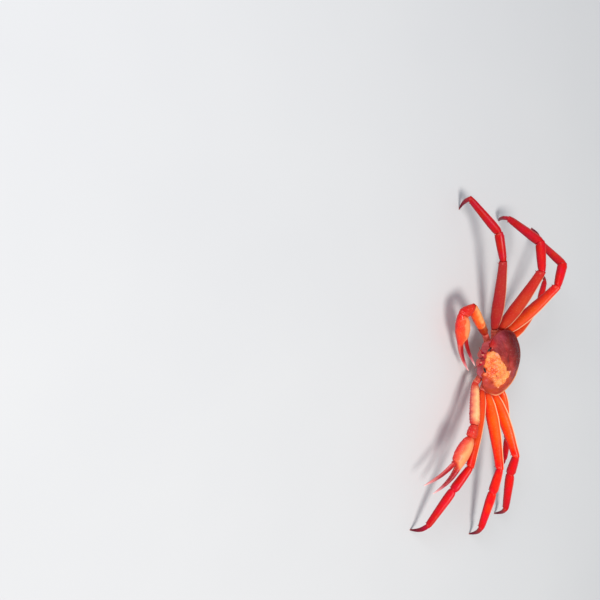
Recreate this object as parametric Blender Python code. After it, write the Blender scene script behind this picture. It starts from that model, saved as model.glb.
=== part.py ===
"""Red snow crab, adult and life size, standing on its eight walking legs.

The crab faces -Y, its left side is +X, +Z is up and the floor is z = 0. Lengths are written
in millimetres and angles in degrees; to_metres() turns a point into Blender's metres.
A limb is a chain of shells: each one is a loft along its own axis, and two neighbours are cut
by the plane that halves the angle between them, so that they meet face to face.
"""
import copy
import math

import bmesh
import bpy
import numpy as np
from mathutils import Vector

MODEL = "red_snow_crab"
# The floor point below the middle of the carapace, seen from the middle of the whole stance.
BODY_OFFSET = Vector((-29.4, 7.4, 0.0))
JOINT_GAP = 0.2

# Body.
HALF_WIDTH = 56.0
CROWN_Z = 63.5
DOME_POWERS = (2.0, 0.95)
# The dome ends at this share of the way to the edge, and a level margin runs on from there.
MARGIN_SHARE = 0.94
RIM_Z = 45.3
# The rim rises by FRONT_RISE ahead of FRONT_START, over FRONT_LENGTH.
FRONT_RISE = 6.2
FRONT_START = 15.0
FRONT_LENGTH = 33.0
RIM_THICKNESS = 2.6
# How far the back leans down to the left, for each millimetre across.
LEFT_DROP = 0.05
UNDERSIDE_Z = 42.0
UNDERSIDE_REACH = 0.88
# The lower edge of the face and the sides: angle from straight ahead, reach and height.
CHIN = [(0, 0.80, 29), (16, 0.80, 29), (26, 0.86, 29.5), (33, 0.92, 31.5), (38.5, 0.90, UNDERSIDE_Z),
        (60, UNDERSIDE_REACH, UNDERSIDE_Z)]
FACE_THICKNESS = 3.2
MOUTH_REACH = 0.68
BROW_REACH = 0.955
BROW_STEP = 0.7
THORAX_TOP = 41.6
THORAX_BOTTOM = 22.0
OUTLINE_CENTRE_Y = 4.0
# Half of the carapace's outline without its teeth, from the front round to the back.
OUTLINE = [(0, -48), (14, -46.5), (24, -43.5), (33.5, -39.5), (43.5, -32.5), (50.5, -23), (54, -11.5),
           (55.8, 0), (HALF_WIDTH, 8.5), (51.8, 18.5), (43, 29), (33, 38), (21.5, 44.6), (0, 47.5)]
# Teeth and notches of the front edge: angle from straight ahead, height, half width.
HORN = (6.0, 12.0, 5.0)
ORBIT = (19.5, -7.0, 4.8)
POSTORBITAL_TOOTH = (28.5, 4.5, 3.2)
FRONT_ANGLES = [0, 3, 6, 8.5, 11, 15, 19, 23, 25.3, 28.5, 31.7, 35]
DORSAL_RINGS = [0.25, 0.48, 0.66, 0.8, 0.89, 0.94]
# Swellings of the back: x, y, height, spread across, spread along. Those off the midline are paired.
SWELLINGS = [(0, -17, 4.6, 15, 12), (0, 16, 1.2, 9, 8), (0, 33, 0.8, 9, 6), (30, 8, 1.8, 14, 16),
             (26, -26, 2.6, 7, 7)]
# Grooves of the back: the points that they run through, and their depth.
GROOVES = [([(0, 3), (13, -2), (27, -12), (40, -20)], 2.2), ([(10, 2), (13, 15), (10, 27), (12, 40)], 1.4)]
GROOVE_WIDTH = 4.5

# Limbs. Lengths: merus, carpus, propodus, dactylus.
LEG_LENGTHS = {1: (130, 46, 72, 36), 2: (126, 46, 76, 37), 3: (113, 41, 78, 36), 4: (68, 28, 46, 27)}
LEG_GIRTH = {1: 0.94, 2: 1.0, 3: 1.0, 4: 0.72}
# Where each left leg's merus starts, and the direction of its coxa, forward of straight out.
LEG_ROOTS = {1: ((52.4, -19.4, 33.5), 18), 2: ((55, -4, 33), 0), 3: ((53, 14, 32), -20),
             4: ((43, 31, 32), -48)}
COXA_LENGTH = 16.5
LEAST_COXA_GIRTH = 0.86
# The stance: heading forward of straight out; pitch of merus, carpus and propodus; how far the
# dactylus turns forward; and whether its tip tucks in under the joint. The dactylus's own
# pitch follows from the floor.
STANCE = {
    ("L", 1): (15.4, (15.3, -18.9, -17.4), -2.7, False),
    ("L", 2): (-14, (14.8, -16.5, -17.5), -12, False),
    ("L", 3): (-26, (17, -23.5, -14.5), -6, False),
    ("L", 4): (-28, (1, -6, -16), 0, False),
    ("R", 1): (31.0, (19.3, 0.5, -39.5), 14, True),
    ("R", 2): (10.6, (35.7, -8.9, -60), 80, True),
    ("R", 3): (-15, (35, -8, -57), -4, False),
    ("R", 4): (-33, (6, -6, -20), -2, False),
}
# Chelipeds. Lengths: merus, carpus, palm, fixed finger, movable finger. Then the heading and pitch
# of merus, carpus and palm; how far the fixed finger curves in and both fingers bend down; and
# how wide the claw stands open. The movable finger is the one nearer the body.
CHELIPED_LENGTHS = (73, 21, 51, 56, 57)
CHELIPED_ROOT = (42, -38, 32)
CHELIPED_COXA_HEADING = 40
CHELIPED_POSES = {
    "L": (((14.5, 23.8), (13.2, 4.5), (19.5, -5.1)), (5, 13.5), 23.5),
    "R": (((61.3, 14.1), (130.9, -11.9), (216.2, -16.6)), (3.5, -12), 11.5),
}

# How wide and how thick a shell is, as half sizes, at fractions of its length.
MERUS = [(0, 5.2, 4.6), (0.05, 6.8, 5.3), (0.16, 9.2, 5.8), (0.34, 10.4, 6.1), (0.6, 9.4, 5.7),
         (0.84, 7.5, 5.1), (0.96, 7.1, 4.9), (1, 6.2, 4.5)]
CARPUS = [(0, 5.3, 4.1), (0.12, 6.0, 4.6), (0.45, 7.0, 5.1), (0.88, 7.6, 5.1), (1, 6.4, 4.5)]
PROPODUS = [(0, 5.6, 4.2), (0.06, 7.1, 4.7), (0.26, 7.3, 4.8), (0.62, 6.3, 4.2), (0.95, 5.3, 3.6),
            (1, 4.3, 3.2)]
DACTYLUS = [(0, 3.4, 2.9), (0.08, 4.2, 3.1), (0.34, 3.8, 2.8), (0.6, 3.0, 2.3), (0.82, 2.1, 1.7),
            (1, 1.2, 1.1)]
COXA = [(0, 5.6, 5.0), (0.25, 6.6, 5.4), (0.6, 6.2, 5.2), (0.85, 6.0, 5.2), (1, 5.0, 4.6)]
ARM = [(0, 5.0, 4.8), (0.1, 6.9, 6.4), (0.4, 8.3, 7.4), (0.75, 9.0, 8.0), (0.94, 8.2, 7.2), (1, 6.2, 5.6)]
WRIST = [(0, 5.6, 5.2), (0.25, 7.8, 7.0), (0.6, 9.4, 8.0), (0.85, 8.8, 7.4), (1, 6.2, 5.6)]
# The palm runs on into the fixed finger, whose fractions are of its own length. The last number
# shifts the section towards the claw's lower edge.
PALM = [(0, 6.0, 5.4, 0), (0.1, 9.4, 8.2, 0), (0.34, 13.0, 10.4, 0), (0.62, 13.8, 10.8, 0),
        (0.88, 11.4, 9.0, 0.4)]
FIXED_FINGER = [(-0.03, 5.8, 6.6, 5.0), (0.08, 4.8, 5.2, 6.0), (0.33, 4.0, 4.2, 6.6), (0.62, 3.0, 3.0, 6.2),
                (0.86, 1.8, 1.8, 5.2), (1, 0.7, 0.7, 4.4)]
FINGER = [(0, 3.2, 3.4, 0), (0.1, 3.7, 3.7, -0.8), (0.35, 3.2, 3.2, -1.2), (0.65, 2.5, 2.5, -0.6),
          (0.88, 1.5, 1.5, 1.0), (1, 0.7, 0.7, 2.2)]
# The movable finger's hinge, along the claw from the palm's end and across it.
FINGER_HINGE = (-1.0, 6.4)
FINGER_BOW = 2.6
CLAW_ROLL = -90.0
MAXILLIPED_GAP = 0.4
LEG_SIDES = 10
CLAW_SIDES = 12
LEG_LEAN = 28.0
DACTYLUS_BOW = 3.4
MERUS_BOW = 2.0

# Colours as the photograph shows them, linear red, green, blue.
COLOURS = {
    "carapace": (0.66, 0.20, 0.10), "underside": (0.70, 0.26, 0.14), "coxa": (0.62, 0.13, 0.06),
    "merus": (0.85, 0.10, 0.02), "leg_end": (0.72, 0.03, 0.015), "dactylus": (0.24, 0.01, 0.02),
    "claw": (0.83, 0.26, 0.12), "finger": (0.45, 0.03, 0.03), "eye": (0.02, 0.015, 0.012),
    "mouth": (0.60, 0.15, 0.07), "antenna": (0.55, 0.08, 0.04),
}


def to_metres(point):
    """The point of the model, in metres, for one in the crab's own millimetres."""
    return (Vector(point) + BODY_OFFSET) * 0.001


def clear_scene():
    for old in list(bpy.data.objects):
        bpy.data.objects.remove(old, do_unlink=True)


def make_material(name):
    material = bpy.data.materials.new(name)
    material.use_nodes = True
    shader = material.node_tree.nodes["Principled BSDF"]
    shader.inputs["Base Color"].default_value = (*COLOURS[name], 1.0)
    shader.inputs["Roughness"].default_value = 0.15 if name == "eye" else 0.42
    shader.inputs["Metallic"].default_value = 0.0
    return material


def add_object(name, mesh, colour, collection):
    mesh.shade_smooth()
    mesh.materials.append(bpy.data.materials[colour])
    added = bpy.data.objects.new(name, mesh)
    collection.objects.link(added)
    return added


def loft(name, rings, colour, collection, fans=(None, None)):
    """A closed shell through rings of points, in order. A fan point closes an end; None leaves it flat."""
    shape = bmesh.new()
    loops = [[shape.verts.new(to_metres(point)) for point in ring] for ring in rings]
    count = len(rings[0])
    for lower, upper in zip(loops, loops[1:]):
        for i in range(count):
            j = (i + 1) % count
            shape.faces.new((lower[i], lower[j], upper[j], upper[i]))
    for loop, fan in zip((loops[0], loops[-1]), fans):
        if fan is None:
            shape.faces.new(loop)
            continue
        tip = shape.verts.new(to_metres(fan))
        for i in range(count):
            shape.faces.new((loop[i], loop[(i + 1) % count], tip))
    bmesh.ops.recalc_face_normals(shape, faces=shape.faces)
    mesh = bpy.data.meshes.new(name)
    shape.to_mesh(mesh)
    shape.free()
    return add_object(name, mesh, colour, collection)


class Limb:
    """One stretch of a limb: where it starts, which way it runs and the axes across it."""

    def __init__(self, side, start, heading, pitch, length, lean=0.0):
        turn = math.radians(heading)
        tilt = math.radians(pitch)
        level = Vector((side * math.cos(turn), -math.sin(turn), 0.0))
        ahead = Vector((-side * math.sin(turn), -math.cos(turn), 0.0))
        self.start = Vector(start)
        self.along = level * math.cos(tilt) + Vector((0, 0, math.sin(tilt)))
        rise = Vector((0, 0, math.cos(tilt))) - level * math.sin(tilt)
        self.length = length
        self.end = self.start + self.along * length
        roll = math.radians(lean)
        self.wide = rise * math.cos(roll) - ahead * math.sin(roll)
        self.thick = ahead * math.cos(roll) + rise * math.sin(roll)

    def opened(self, start, angle, length):
        """A stretch from another point, turned from this one towards its wide side."""
        turn = math.radians(angle)
        finger = copy.copy(self)
        finger.start = start
        finger.length = length
        finger.along = self.along * math.cos(turn) + self.wide * math.sin(turn)
        finger.wide = self.wide * math.cos(turn) - self.along * math.sin(turn)
        finger.end = start + finger.along * length
        return finger

    def ring(self, fraction, wide, thick, lift, sides):
        middle = self.start + self.along * (self.length * fraction) + self.wide * lift
        turns = [2 * math.pi * i / sides for i in range(sides)]
        return [middle + self.wide * (wide * math.cos(a)) + self.thick * (thick * math.sin(a)) for a in turns]

    def cut(self, ring, point, normal, whole):
        """Slides points along the limb onto a plane: the whole ring, or only what stands beyond it."""
        slope = self.along.dot(normal)
        slid = []
        for p in ring:
            shift = (point - p).dot(normal)
            slid.append(p + self.along * (shift / slope) if whole or shift < 0 else p)
        return slid

    def shell(self, name, profile, girth, sides, colour, collection, before=None, after=None, bow=0.0,
              floor=False, bend=(0.0, 0.0), bend_from=0.0):
        """The limb's shell. before and after are the directions of its neighbours, None for a square end."""
        rings = []
        for station in profile:
            fraction, wide, thick = station[:3]
            shift = station[3] if len(station) > 3 else 0.0
            lift = bow * math.sin(math.pi * fraction) - shift
            ring = self.ring(fraction, wide * girth, thick * girth, lift * girth, sides)
            share = max(0.0, (fraction - bend_from) / (1 - bend_from)) ** 2
            drift = (self.wide * bend[0] + self.thick * bend[1]) * share
            rings.append([p + drift for p in ring])
        ends = []
        if before is not None:
            ends.append((0, self.start + self.along * JOINT_GAP, -(self.along + before).normalized()))
        if after is not None:
            last_point = self.end - self.along * JOINT_GAP
            ends.append((len(rings) - 1, last_point, (self.along + after).normalized()))
        if floor:
            ends.append((len(rings) - 1, self.end, Vector((0, 0, -1))))
        for last, point, normal in ends:
            rings = [self.cut(ring, point, normal, i == last) for i, ring in enumerate(rings)]
        return loft(name, rings, colour, collection)


def walking_leg(side_name, number, collection):
    side = 1 if side_name == "L" else -1
    (x, y, z), coxa_heading = LEG_ROOTS[number]
    heading, pitches, twist, tucked = STANCE[side_name, number]
    lengths = LEG_LENGTHS[number]
    girth = LEG_GIRTH[number]
    root = Vector((side * x, y, z))
    coxa = coxa_of(side, root, coxa_heading)
    parts = []
    start = root
    for pitch, length in zip(pitches, lengths):
        parts.append(Limb(side, start, heading, pitch, length, LEG_LEAN))
        start = parts[-1].end
    drop = math.degrees(math.asin(start.z / lengths[3]))
    tip_pitch = drop - 180 if tucked else -drop
    tip = Limb(side, start, heading + twist, tip_pitch, lengths[3], LEG_LEAN)
    merus, carpus, propodus = parts
    stem = f"leg_{side_name}{number}_"
    coxa.shell(stem + "coxa", COXA, max(girth, LEAST_COXA_GIRTH), LEG_SIDES, "coxa", collection,
               None, merus.along)
    merus.shell(stem + "merus", MERUS, girth, LEG_SIDES, "merus", collection,
                coxa.along, carpus.along, MERUS_BOW)
    carpus.shell(stem + "carpus", CARPUS, girth, LEG_SIDES, "leg_end", collection,
                 merus.along, propodus.along)
    propodus.shell(stem + "propodus", PROPODUS, girth, LEG_SIDES, "leg_end", collection,
                   carpus.along, tip.along)
    tip.shell(stem + "dactylus", DACTYLUS, girth, LEG_SIDES, "dactylus", collection, propodus.along,
              bow=DACTYLUS_BOW, floor=True)


def coxa_of(side, root, heading):
    """The short first stretch, level, which ends at the root."""
    outward = Vector((side * math.cos(math.radians(heading)), -math.sin(math.radians(heading)), 0.0))
    return Limb(side, root - outward * COXA_LENGTH, heading, 0.0, COXA_LENGTH)


def cheliped(side_name, collection):
    side = 1 if side_name == "L" else -1
    x, y, z = CHELIPED_ROOT
    root = Vector((side * x, y, z))
    coxa = coxa_of(side, root, CHELIPED_COXA_HEADING)
    headings, bend, gape = CHELIPED_POSES[side_name]
    parts = []
    start = root
    for (heading, pitch), length in zip(headings, CHELIPED_LENGTHS):
        parts.append(Limb(side, start, heading, pitch, length, CLAW_ROLL))
        start = parts[-1].end
    arm, wrist, palm = parts
    fixed_length, finger_length = CHELIPED_LENGTHS[3:]
    whole = Limb(side, palm.start, *headings[2], palm.length + fixed_length, CLAW_ROLL)
    stem = f"cheliped_{side_name}_"
    coxa.shell(stem + "ischium", COXA, 0.94, LEG_SIDES, "coxa", collection, None, arm.along)
    arm.shell(stem + "merus", ARM, 1.0, CLAW_SIDES, "claw", collection, coxa.along, wrist.along)
    wrist.shell(stem + "carpus", WRIST, 1.0, CLAW_SIDES, "claw", collection, arm.along, whole.along)
    share = palm.length / whole.length
    outline = [(f * share, *rest) for f, *rest in PALM]
    outline += [(share + f * (1 - share), *rest) for f, *rest in FIXED_FINGER]
    whole.shell(stem + "palm", outline, 1.0, CLAW_SIDES, "claw", collection, wrist.along,
                bend=bend, bend_from=share)
    hinge = palm.end + palm.along * FINGER_HINGE[0] + palm.wide * FINGER_HINGE[1]
    finger = palm.opened(hinge, gape, finger_length)
    finger.shell(stem + "finger", FINGER, 1.0, LEG_SIDES, "finger", collection,
                 bow=-FINGER_BOW, bend=(0.0, bend[1]))


def reach(angle):
    """Distance from the outline's centre to the smooth edge of the carapace, angle from straight ahead."""
    angles = [math.degrees(math.atan2(x, OUTLINE_CENTRE_Y - y)) for x, y in OUTLINE]
    distances = [math.hypot(x, y - OUTLINE_CENTRE_Y) for x, y in OUTLINE]
    asked = [180 - abs(180 - abs(angle + step)) for step in (-6, -3, 0, 3, 6)]
    return float(np.mean(np.interp(asked, angles, distances)))


def teeth(angle):
    """How far the front edge's horns and teeth stand out of the smooth edge."""
    angle = abs(angle)
    out = ORBIT[1] * math.exp(-((angle - ORBIT[0]) / ORBIT[2]) ** 2)
    for middle, height, half in (HORN, POSTORBITAL_TOOTH):
        out += height * max(0.0, 1 - abs(angle - middle) / half)
    return out


def groove_distance(x, y, route):
    """Distance from a point to a groove's route, in its own half of the back."""
    here = Vector((abs(x), y))
    nearest = math.inf
    for a, b in zip(route, route[1:]):
        a, b = Vector(a), Vector(b)
        share = min(1.0, max(0.0, (here - a).dot(b - a) / (b - a).length_squared))
        nearest = min(nearest, (here - a - (b - a) * share).length)
    return nearest


def back_height(x, y):
    """Height of the carapace's upper surface."""
    angle = math.degrees(math.atan2(abs(x), OUTLINE_CENTRE_Y - y))
    fraction = math.hypot(x, y - OUTLINE_CENTRE_Y) / (reach(angle) * MARGIN_SHARE)
    front = min(1.0, max(0.0, (-y - FRONT_START) / FRONT_LENGTH))
    rim = RIM_Z + FRONT_RISE * front - LEFT_DROP * x
    if fraction >= 1:
        return rim
    relief = 0.0
    for middle_x, middle_y, height, across, along in SWELLINGS:
        relief += height * math.exp(-((abs(x) - middle_x) / across) ** 2 - ((y - middle_y) / along) ** 2)
    for route, depth in GROOVES:
        relief -= depth * math.exp(-(groove_distance(x, y, route) / GROOVE_WIDTH) ** 2)
    dome = (1 - fraction ** DOME_POWERS[0]) ** DOME_POWERS[1]
    return rim + (CROWN_Z - rim) * dome + relief * (1 - fraction ** 6)


def carapace(collection):
    """The back shield: its domed upper surface, the toothed rim, the face and a flat underside."""
    half = FRONT_ANGLES + list(np.linspace(38.5, 180, 18))
    angles = half + [-a for a in reversed(half[1:-1])]
    rims = [reach(a) + teeth(a) for a in angles]

    def spot(angle, distance):
        turn = math.radians(angle)
        return distance * math.sin(turn), OUTLINE_CENTRE_Y - distance * math.cos(turn)

    rings = []
    for fraction in DORSAL_RINGS:
        spots = [spot(a, fraction * min(r, reach(a))) for a, r in zip(angles, rims)]
        rings.append([(x, y, back_height(x, y)) for x, y in spots])
    edge = [spot(a, r) for a, r in zip(angles, rims)]
    rings.append([(x, y, back_height(x, y)) for x, y in edge])
    below = [spot(a, r * 0.985) for a, r in zip(angles, rims)]
    rings.append([(x, y, back_height(*e) - RIM_THICKNESS) for (x, y), e in zip(below, edge)])
    brow = [spot(a, min(r * 0.97, reach(a) * BROW_REACH)) for a, r in zip(angles, rims)]
    rings.append([(x, y, back_height(*e) - RIM_THICKNESS - BROW_STEP) for (x, y), e in zip(brow, edge)])
    chin_angles, chin_reaches, chin_heights = zip(*CHIN)
    chin = [reach(a) * np.interp(abs(a), chin_angles, chin_reaches) for a in angles]
    rings.append([(*spot(a, r), np.interp(abs(a), chin_angles, chin_heights)) for a, r in zip(angles, chin)])
    rings.append([(*spot(a, r - FACE_THICKNESS), UNDERSIDE_Z) for a, r in zip(angles, chin)])
    mouth = [spot(a, reach(a) * MOUTH_REACH) for a in angles]
    rings.append([(x, y, UNDERSIDE_Z) for x, y in mouth])
    crown = (0, OUTLINE_CENTRE_Y, back_height(0, OUTLINE_CENTRE_Y))
    loft("carapace", rings, "carapace", collection, fans=(crown, None))


def sternum(collection):
    """The thorax below the shield, with a flat seat for each limb."""
    seats = [(CHELIPED_ROOT, CHELIPED_COXA_HEADING)] + [LEG_ROOTS[n] for n in sorted(LEG_ROOTS)]
    half = [(0, -29.5), (10, -28.5), (14, -26), (19, -24)]
    for (x, y, _), heading in seats:
        turn = math.radians(heading)
        outward = Vector((math.cos(turn), -math.sin(turn)))
        tangent = Vector((math.sin(turn), math.cos(turn)))
        seat = Vector((x, y)) - outward * (COXA_LENGTH + 0.3)
        half += [tuple(seat - tangent * 5.0), tuple(seat + tangent * 5.0)]
    half += [(20, 29), (9, 32.5), (0, 33)]
    outline = half + [(-x, y) for x, y in reversed(half[1:-1])]
    levels = [(THORAX_BOTTOM, 0.84), (THORAX_BOTTOM + 2.5, 0.94), (THORAX_BOTTOM + 6, 1.0), (THORAX_TOP, 1.0)]
    rings = [[(x * share, y * share, z) for x, y in outline] for z, share in levels]
    loft("sternum", rings, "underside", collection)


def abdomen(collection):
    """The tail, folded from the back edge down and forward under the thorax: y, z, half width."""
    route = [(41.5, 41.0, 15), (42.5, 35.0, 17), (41.0, 29.0, 17.5), (36.5, 23.5, 17), (29.0, 20.6, 15.5),
             (18.0, 19.6, 12.5), (6.0, 19.4, 9.5), (-6.0, 19.6, 6.5), (-15.0, 20.0, 3.2)]
    thickness = 1.5
    rings = []
    for i, (y, z, half_width) in enumerate(route):
        before = Vector(route[max(i - 1, 0)][:2])
        after = Vector(route[min(i + 1, len(route) - 1)][:2])
        run = (after - before).normalized()
        out = Vector((-run.y, run.x)) * -thickness
        section = []
        for step in range(12):
            turn = 2 * math.pi * step / 12
            side = half_width * math.copysign(abs(math.cos(turn)) ** 0.6, math.cos(turn))
            lift = math.copysign(abs(math.sin(turn)) ** 0.7, math.sin(turn))
            section.append((side, y + out.x * lift, z + out.y * lift))
        rings.append(section)
    loft("abdomen", rings, "underside", collection)


def maxilliped(side_name, collection):
    """One of the two plates that cover the mouth."""
    side = 1 if side_name == "L" else -1
    levels = [(-0.08, 4.2, 1.0), (0.04, 5.8, 1.5), (0.3, 6.3, 1.7), (0.55, 5.6, 1.6), (0.76, 3.8, 1.0)]
    _, chin_reach, chin_z = CHIN[0]
    chin = Vector((0, OUTLINE_CENTRE_Y - reach(6) * chin_reach, chin_z))
    brow_z = RIM_Z + FRONT_RISE - RIM_THICKNESS - BROW_STEP
    brow = Vector((0, OUTLINE_CENTRE_Y - reach(6) * BROW_REACH, brow_z))
    rise = (brow - chin).normalized()
    out = Vector((0, -rise.z, rise.y))
    rings = []
    for share, half_width, half_depth in levels:
        middle = chin.lerp(brow, share) + out * (MAXILLIPED_GAP + 1.7)
        ring = []
        for step in range(8):
            turn = 2 * math.pi * (step + 0.5) / 8
            across = side * 6.6 + half_width * math.cos(turn)
            ring.append(middle + Vector((across, 0, 0)) + out * (half_depth * math.sin(turn)))
        rings.append(ring)
    loft("maxilliped_" + side_name, rings, "mouth", collection)


def eye(side_name, collection):
    """A short-stalked eye, lying outward and forward in its orbit."""
    side = 1 if side_name == "L" else -1
    stalk = Limb(side, (side * 12.9, -44.2, 51.0 - LEFT_DROP * side * 17), 14, 10, 8.6)
    profile = [(0, 1.4, 1.4), (0.2, 2.0, 2.0), (0.45, 3.1, 3.0), (0.72, 3.5, 3.4), (0.92, 2.4, 2.3),
               (1, 1.0, 1.0)]
    stalk.shell("eye_" + side_name, profile, 1.0, 10, "eye", collection)


def antenna(side_name, collection):
    """A feeler: a tapering curve from beside the mouth, forward and outward."""
    side = 1 if side_name == "L" else -1
    route = [(9.6, -47.2, 44.2), (10.6, -50.5, 44.6), (12.4, -55.5, 45.6), (14.8, -61, 47.2),
             (17.6, -66.5, 49.4)]
    curve = bpy.data.curves.new("antenna_" + side_name, "CURVE")
    curve.dimensions = "3D"
    curve.bevel_depth = 0.0011
    curve.bevel_resolution = 1
    curve.use_fill_caps = True
    spline = curve.splines.new("POLY")
    spline.points.add(len(route) - 1)
    for i, (x, y, z) in enumerate(route):
        spline.points[i].co = (*to_metres((side * x, y, z)), 1.0)
        spline.points[i].radius = 1.0 - 0.7 * i / (len(route) - 1)
    curve.materials.append(bpy.data.materials["antenna"])
    collection.objects.link(bpy.data.objects.new("antenna_" + side_name, curve))


def build():
    clear_scene()
    for name in COLOURS:
        make_material(name)
    collection = bpy.data.collections.new(MODEL)
    bpy.context.scene.collection.children.link(collection)
    carapace(collection)
    sternum(collection)
    abdomen(collection)
    for side_name in "LR":
        maxilliped(side_name, collection)
        eye(side_name, collection)
        antenna(side_name, collection)
        cheliped(side_name, collection)
        for number in LEG_ROOTS:
            walking_leg(side_name, number, collection)


build()
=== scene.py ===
"""Looks of a red snow crab, life size, standing: one fine surface for every plate and limb segment.

The crab's own lengths are in millimetres and its angles in degrees, as in the solids that the
pieces replace; to_metres() turns points into the frame's metres. The crab faces -Y, its left side
is +X and the floor is z = 0. A piece is a grid of rings, closed at both ends, with a colour at
every point, and its material adds the fine grain.
"""

import math

import bpy
import numpy as np
from mathutils import Matrix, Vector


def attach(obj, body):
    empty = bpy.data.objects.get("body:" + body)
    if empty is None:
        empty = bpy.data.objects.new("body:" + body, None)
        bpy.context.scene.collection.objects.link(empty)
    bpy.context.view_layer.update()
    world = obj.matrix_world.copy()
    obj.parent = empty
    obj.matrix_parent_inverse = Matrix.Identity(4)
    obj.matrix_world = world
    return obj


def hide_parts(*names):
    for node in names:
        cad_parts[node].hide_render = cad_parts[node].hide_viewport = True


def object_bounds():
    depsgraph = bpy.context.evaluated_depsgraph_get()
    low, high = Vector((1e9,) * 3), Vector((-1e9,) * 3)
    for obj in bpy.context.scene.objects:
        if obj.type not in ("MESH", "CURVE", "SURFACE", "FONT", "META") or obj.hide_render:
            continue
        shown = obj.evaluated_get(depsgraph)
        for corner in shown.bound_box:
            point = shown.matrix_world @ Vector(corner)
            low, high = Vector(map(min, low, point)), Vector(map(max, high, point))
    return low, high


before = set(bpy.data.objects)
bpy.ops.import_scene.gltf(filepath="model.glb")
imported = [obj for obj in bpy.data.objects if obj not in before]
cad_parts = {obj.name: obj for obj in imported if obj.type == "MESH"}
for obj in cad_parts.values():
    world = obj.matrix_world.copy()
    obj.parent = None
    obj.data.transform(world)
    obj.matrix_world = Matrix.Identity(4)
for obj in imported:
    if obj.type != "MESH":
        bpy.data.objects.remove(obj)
CAD_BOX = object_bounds()

# The floor point below the middle of the carapace, seen from the middle of the whole stance.
BODY_OFFSET = np.array([-29.4, 7.4, 0.0])
MM = 0.001

# The camera: how it looks down on the crab, how it is rolled, and where its target falls.
CAMERA_ELEVATION = 38.0
CAMERA_ROLL = 101.5
CAMERA_DISTANCE = 1219.0
CAMERA_TARGET = np.array([0.0, 0.0, 50.0])
TARGET_PIXEL = (503.2, 363.2)
IMAGE_SIZE = 600
FOCAL_PIXELS = 700.0
SENSOR_MM = 36.0

# The floor's half size and the lights, in metres. A light has its place, size, power and colour.
FLOOR_HALF = 6.0
LIGHTS = {"key": ((1.1, -0.85, 2.9), 0.95, 82.0, (1.0, 0.96, 0.90)),
          "fill": ((-1.1, -2.1, 1.2), 1.0, 24.0, (0.98, 0.97, 1.0))}

# Body.
CROWN_Z = 63.5
DOME_POWERS = (2.0, 0.95)
# The dome ends at this share of the way to the edge, and a level margin runs on from there.
MARGIN_SHARE = 0.94
RIM_Z = 45.3
# The rim rises by FRONT_RISE ahead of FRONT_START, over FRONT_LENGTH, and leans down to the left.
FRONT_RISE = 6.2
FRONT_START = 15.0
FRONT_LENGTH = 33.0
LEFT_DROP = 0.05
RIM_THICKNESS = 2.6
UNDERSIDE_Z = 42.0
UNDERSIDE_REACH = 0.88
# The lower edge of the face and the sides: angle from straight ahead, reach and height.
CHIN = [(0, 0.80, 29), (16, 0.80, 29), (26, 0.86, 29.5), (33, 0.92, 31.5), (38.5, 0.90, UNDERSIDE_Z),
        (60, UNDERSIDE_REACH, UNDERSIDE_Z), (180, UNDERSIDE_REACH, UNDERSIDE_Z)]
FACE_THICKNESS = 3.2
MOUTH_REACH = 0.68
BROW_REACH = 0.955
BROW_STEP = 0.7
THORAX_TOP = 41.6
THORAX_BOTTOM = 22.0
OUTLINE_CENTRE_Y = 4.0
OUTLINE = [(0, -48), (14, -46.5), (24, -43.5), (33.5, -39.5), (43.5, -32.5), (50.5, -23), (54, -11.5),
           (55.8, 0), (56, 8.5), (51.8, 18.5), (43, 29), (33, 38), (21.5, 44.6), (0, 47.5)]
# Teeth and notches of the front edge: angle from straight ahead, height, half width.
HORN = (6.0, 12.0, 5.0)
ORBIT = (19.5, -7.0, 4.8)
POSTORBITAL_TOOTH = (28.5, 4.5, 3.2)
# The eyestalks: the foot, the distance from the midline that sets how far it drops with the back's
# lean, then the stalk's heading, pitch and length.
EYE_FOOT = (12.9, -44.2, 51.0)
EYE_DROP_X = 17
EYE_STALK = (14, 10, 8.6)
# Swellings of the back: x, y, height, spread across, spread along. Those off the midline are paired.
SWELLINGS = [(0, -17, 4.6, 15, 12), (0, 16, 1.2, 9, 8), (0, 33, 0.8, 9, 6), (30, 8, 1.8, 14, 16),
             (26, -26, 2.6, 7, 7)]
GROOVES = [([(0, 3), (13, -2), (27, -12), (40, -20)], 2.2), ([(10, 2), (13, 15), (10, 27), (12, 40)], 1.4)]
GROOVE_WIDTH = 4.5

# Limbs. Lengths: merus, carpus, propodus, dactylus.
LEG_LENGTHS = {1: (130, 46, 72, 36), 2: (126, 46, 76, 37), 3: (113, 41, 78, 36), 4: (68, 28, 46, 27)}
LEG_GIRTH = {1: 0.94, 2: 1.0, 3: 1.0, 4: 0.72}
# Where each leg leaves its coxa, and the coxa's heading.
LEG_ROOTS = {1: ((52.4, -19.4, 33.5), 18), 2: ((55, -4, 33), 0), 3: ((53, 14, 32), -20),
             4: ((43, 31, 32), -48)}
COXA_LENGTH = 16.5
COXA_LEAST_GIRTH = 0.86
# Heading forward of straight out; pitch of merus, carpus and propodus; how far the dactylus turns
# forward; and whether its tip tucks in under the joint.
STANCE = {
    ("L", 1): (15.4, (15.3, -18.9, -17.4), -2.7, False),
    ("L", 2): (-14, (14.8, -16.5, -17.5), -12, False),
    ("L", 3): (-26, (17, -23.5, -14.5), -6, False),
    ("L", 4): (-28, (1, -6, -16), 0, False),
    ("R", 1): (31.0, (19.3, 0.5, -39.5), 14, True),
    ("R", 2): (10.6, (35.7, -8.9, -60), 80, True),
    ("R", 3): (-15, (35, -8, -57), -4, False),
    ("R", 4): (-33, (6, -6, -20), -2, False),
}
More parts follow.
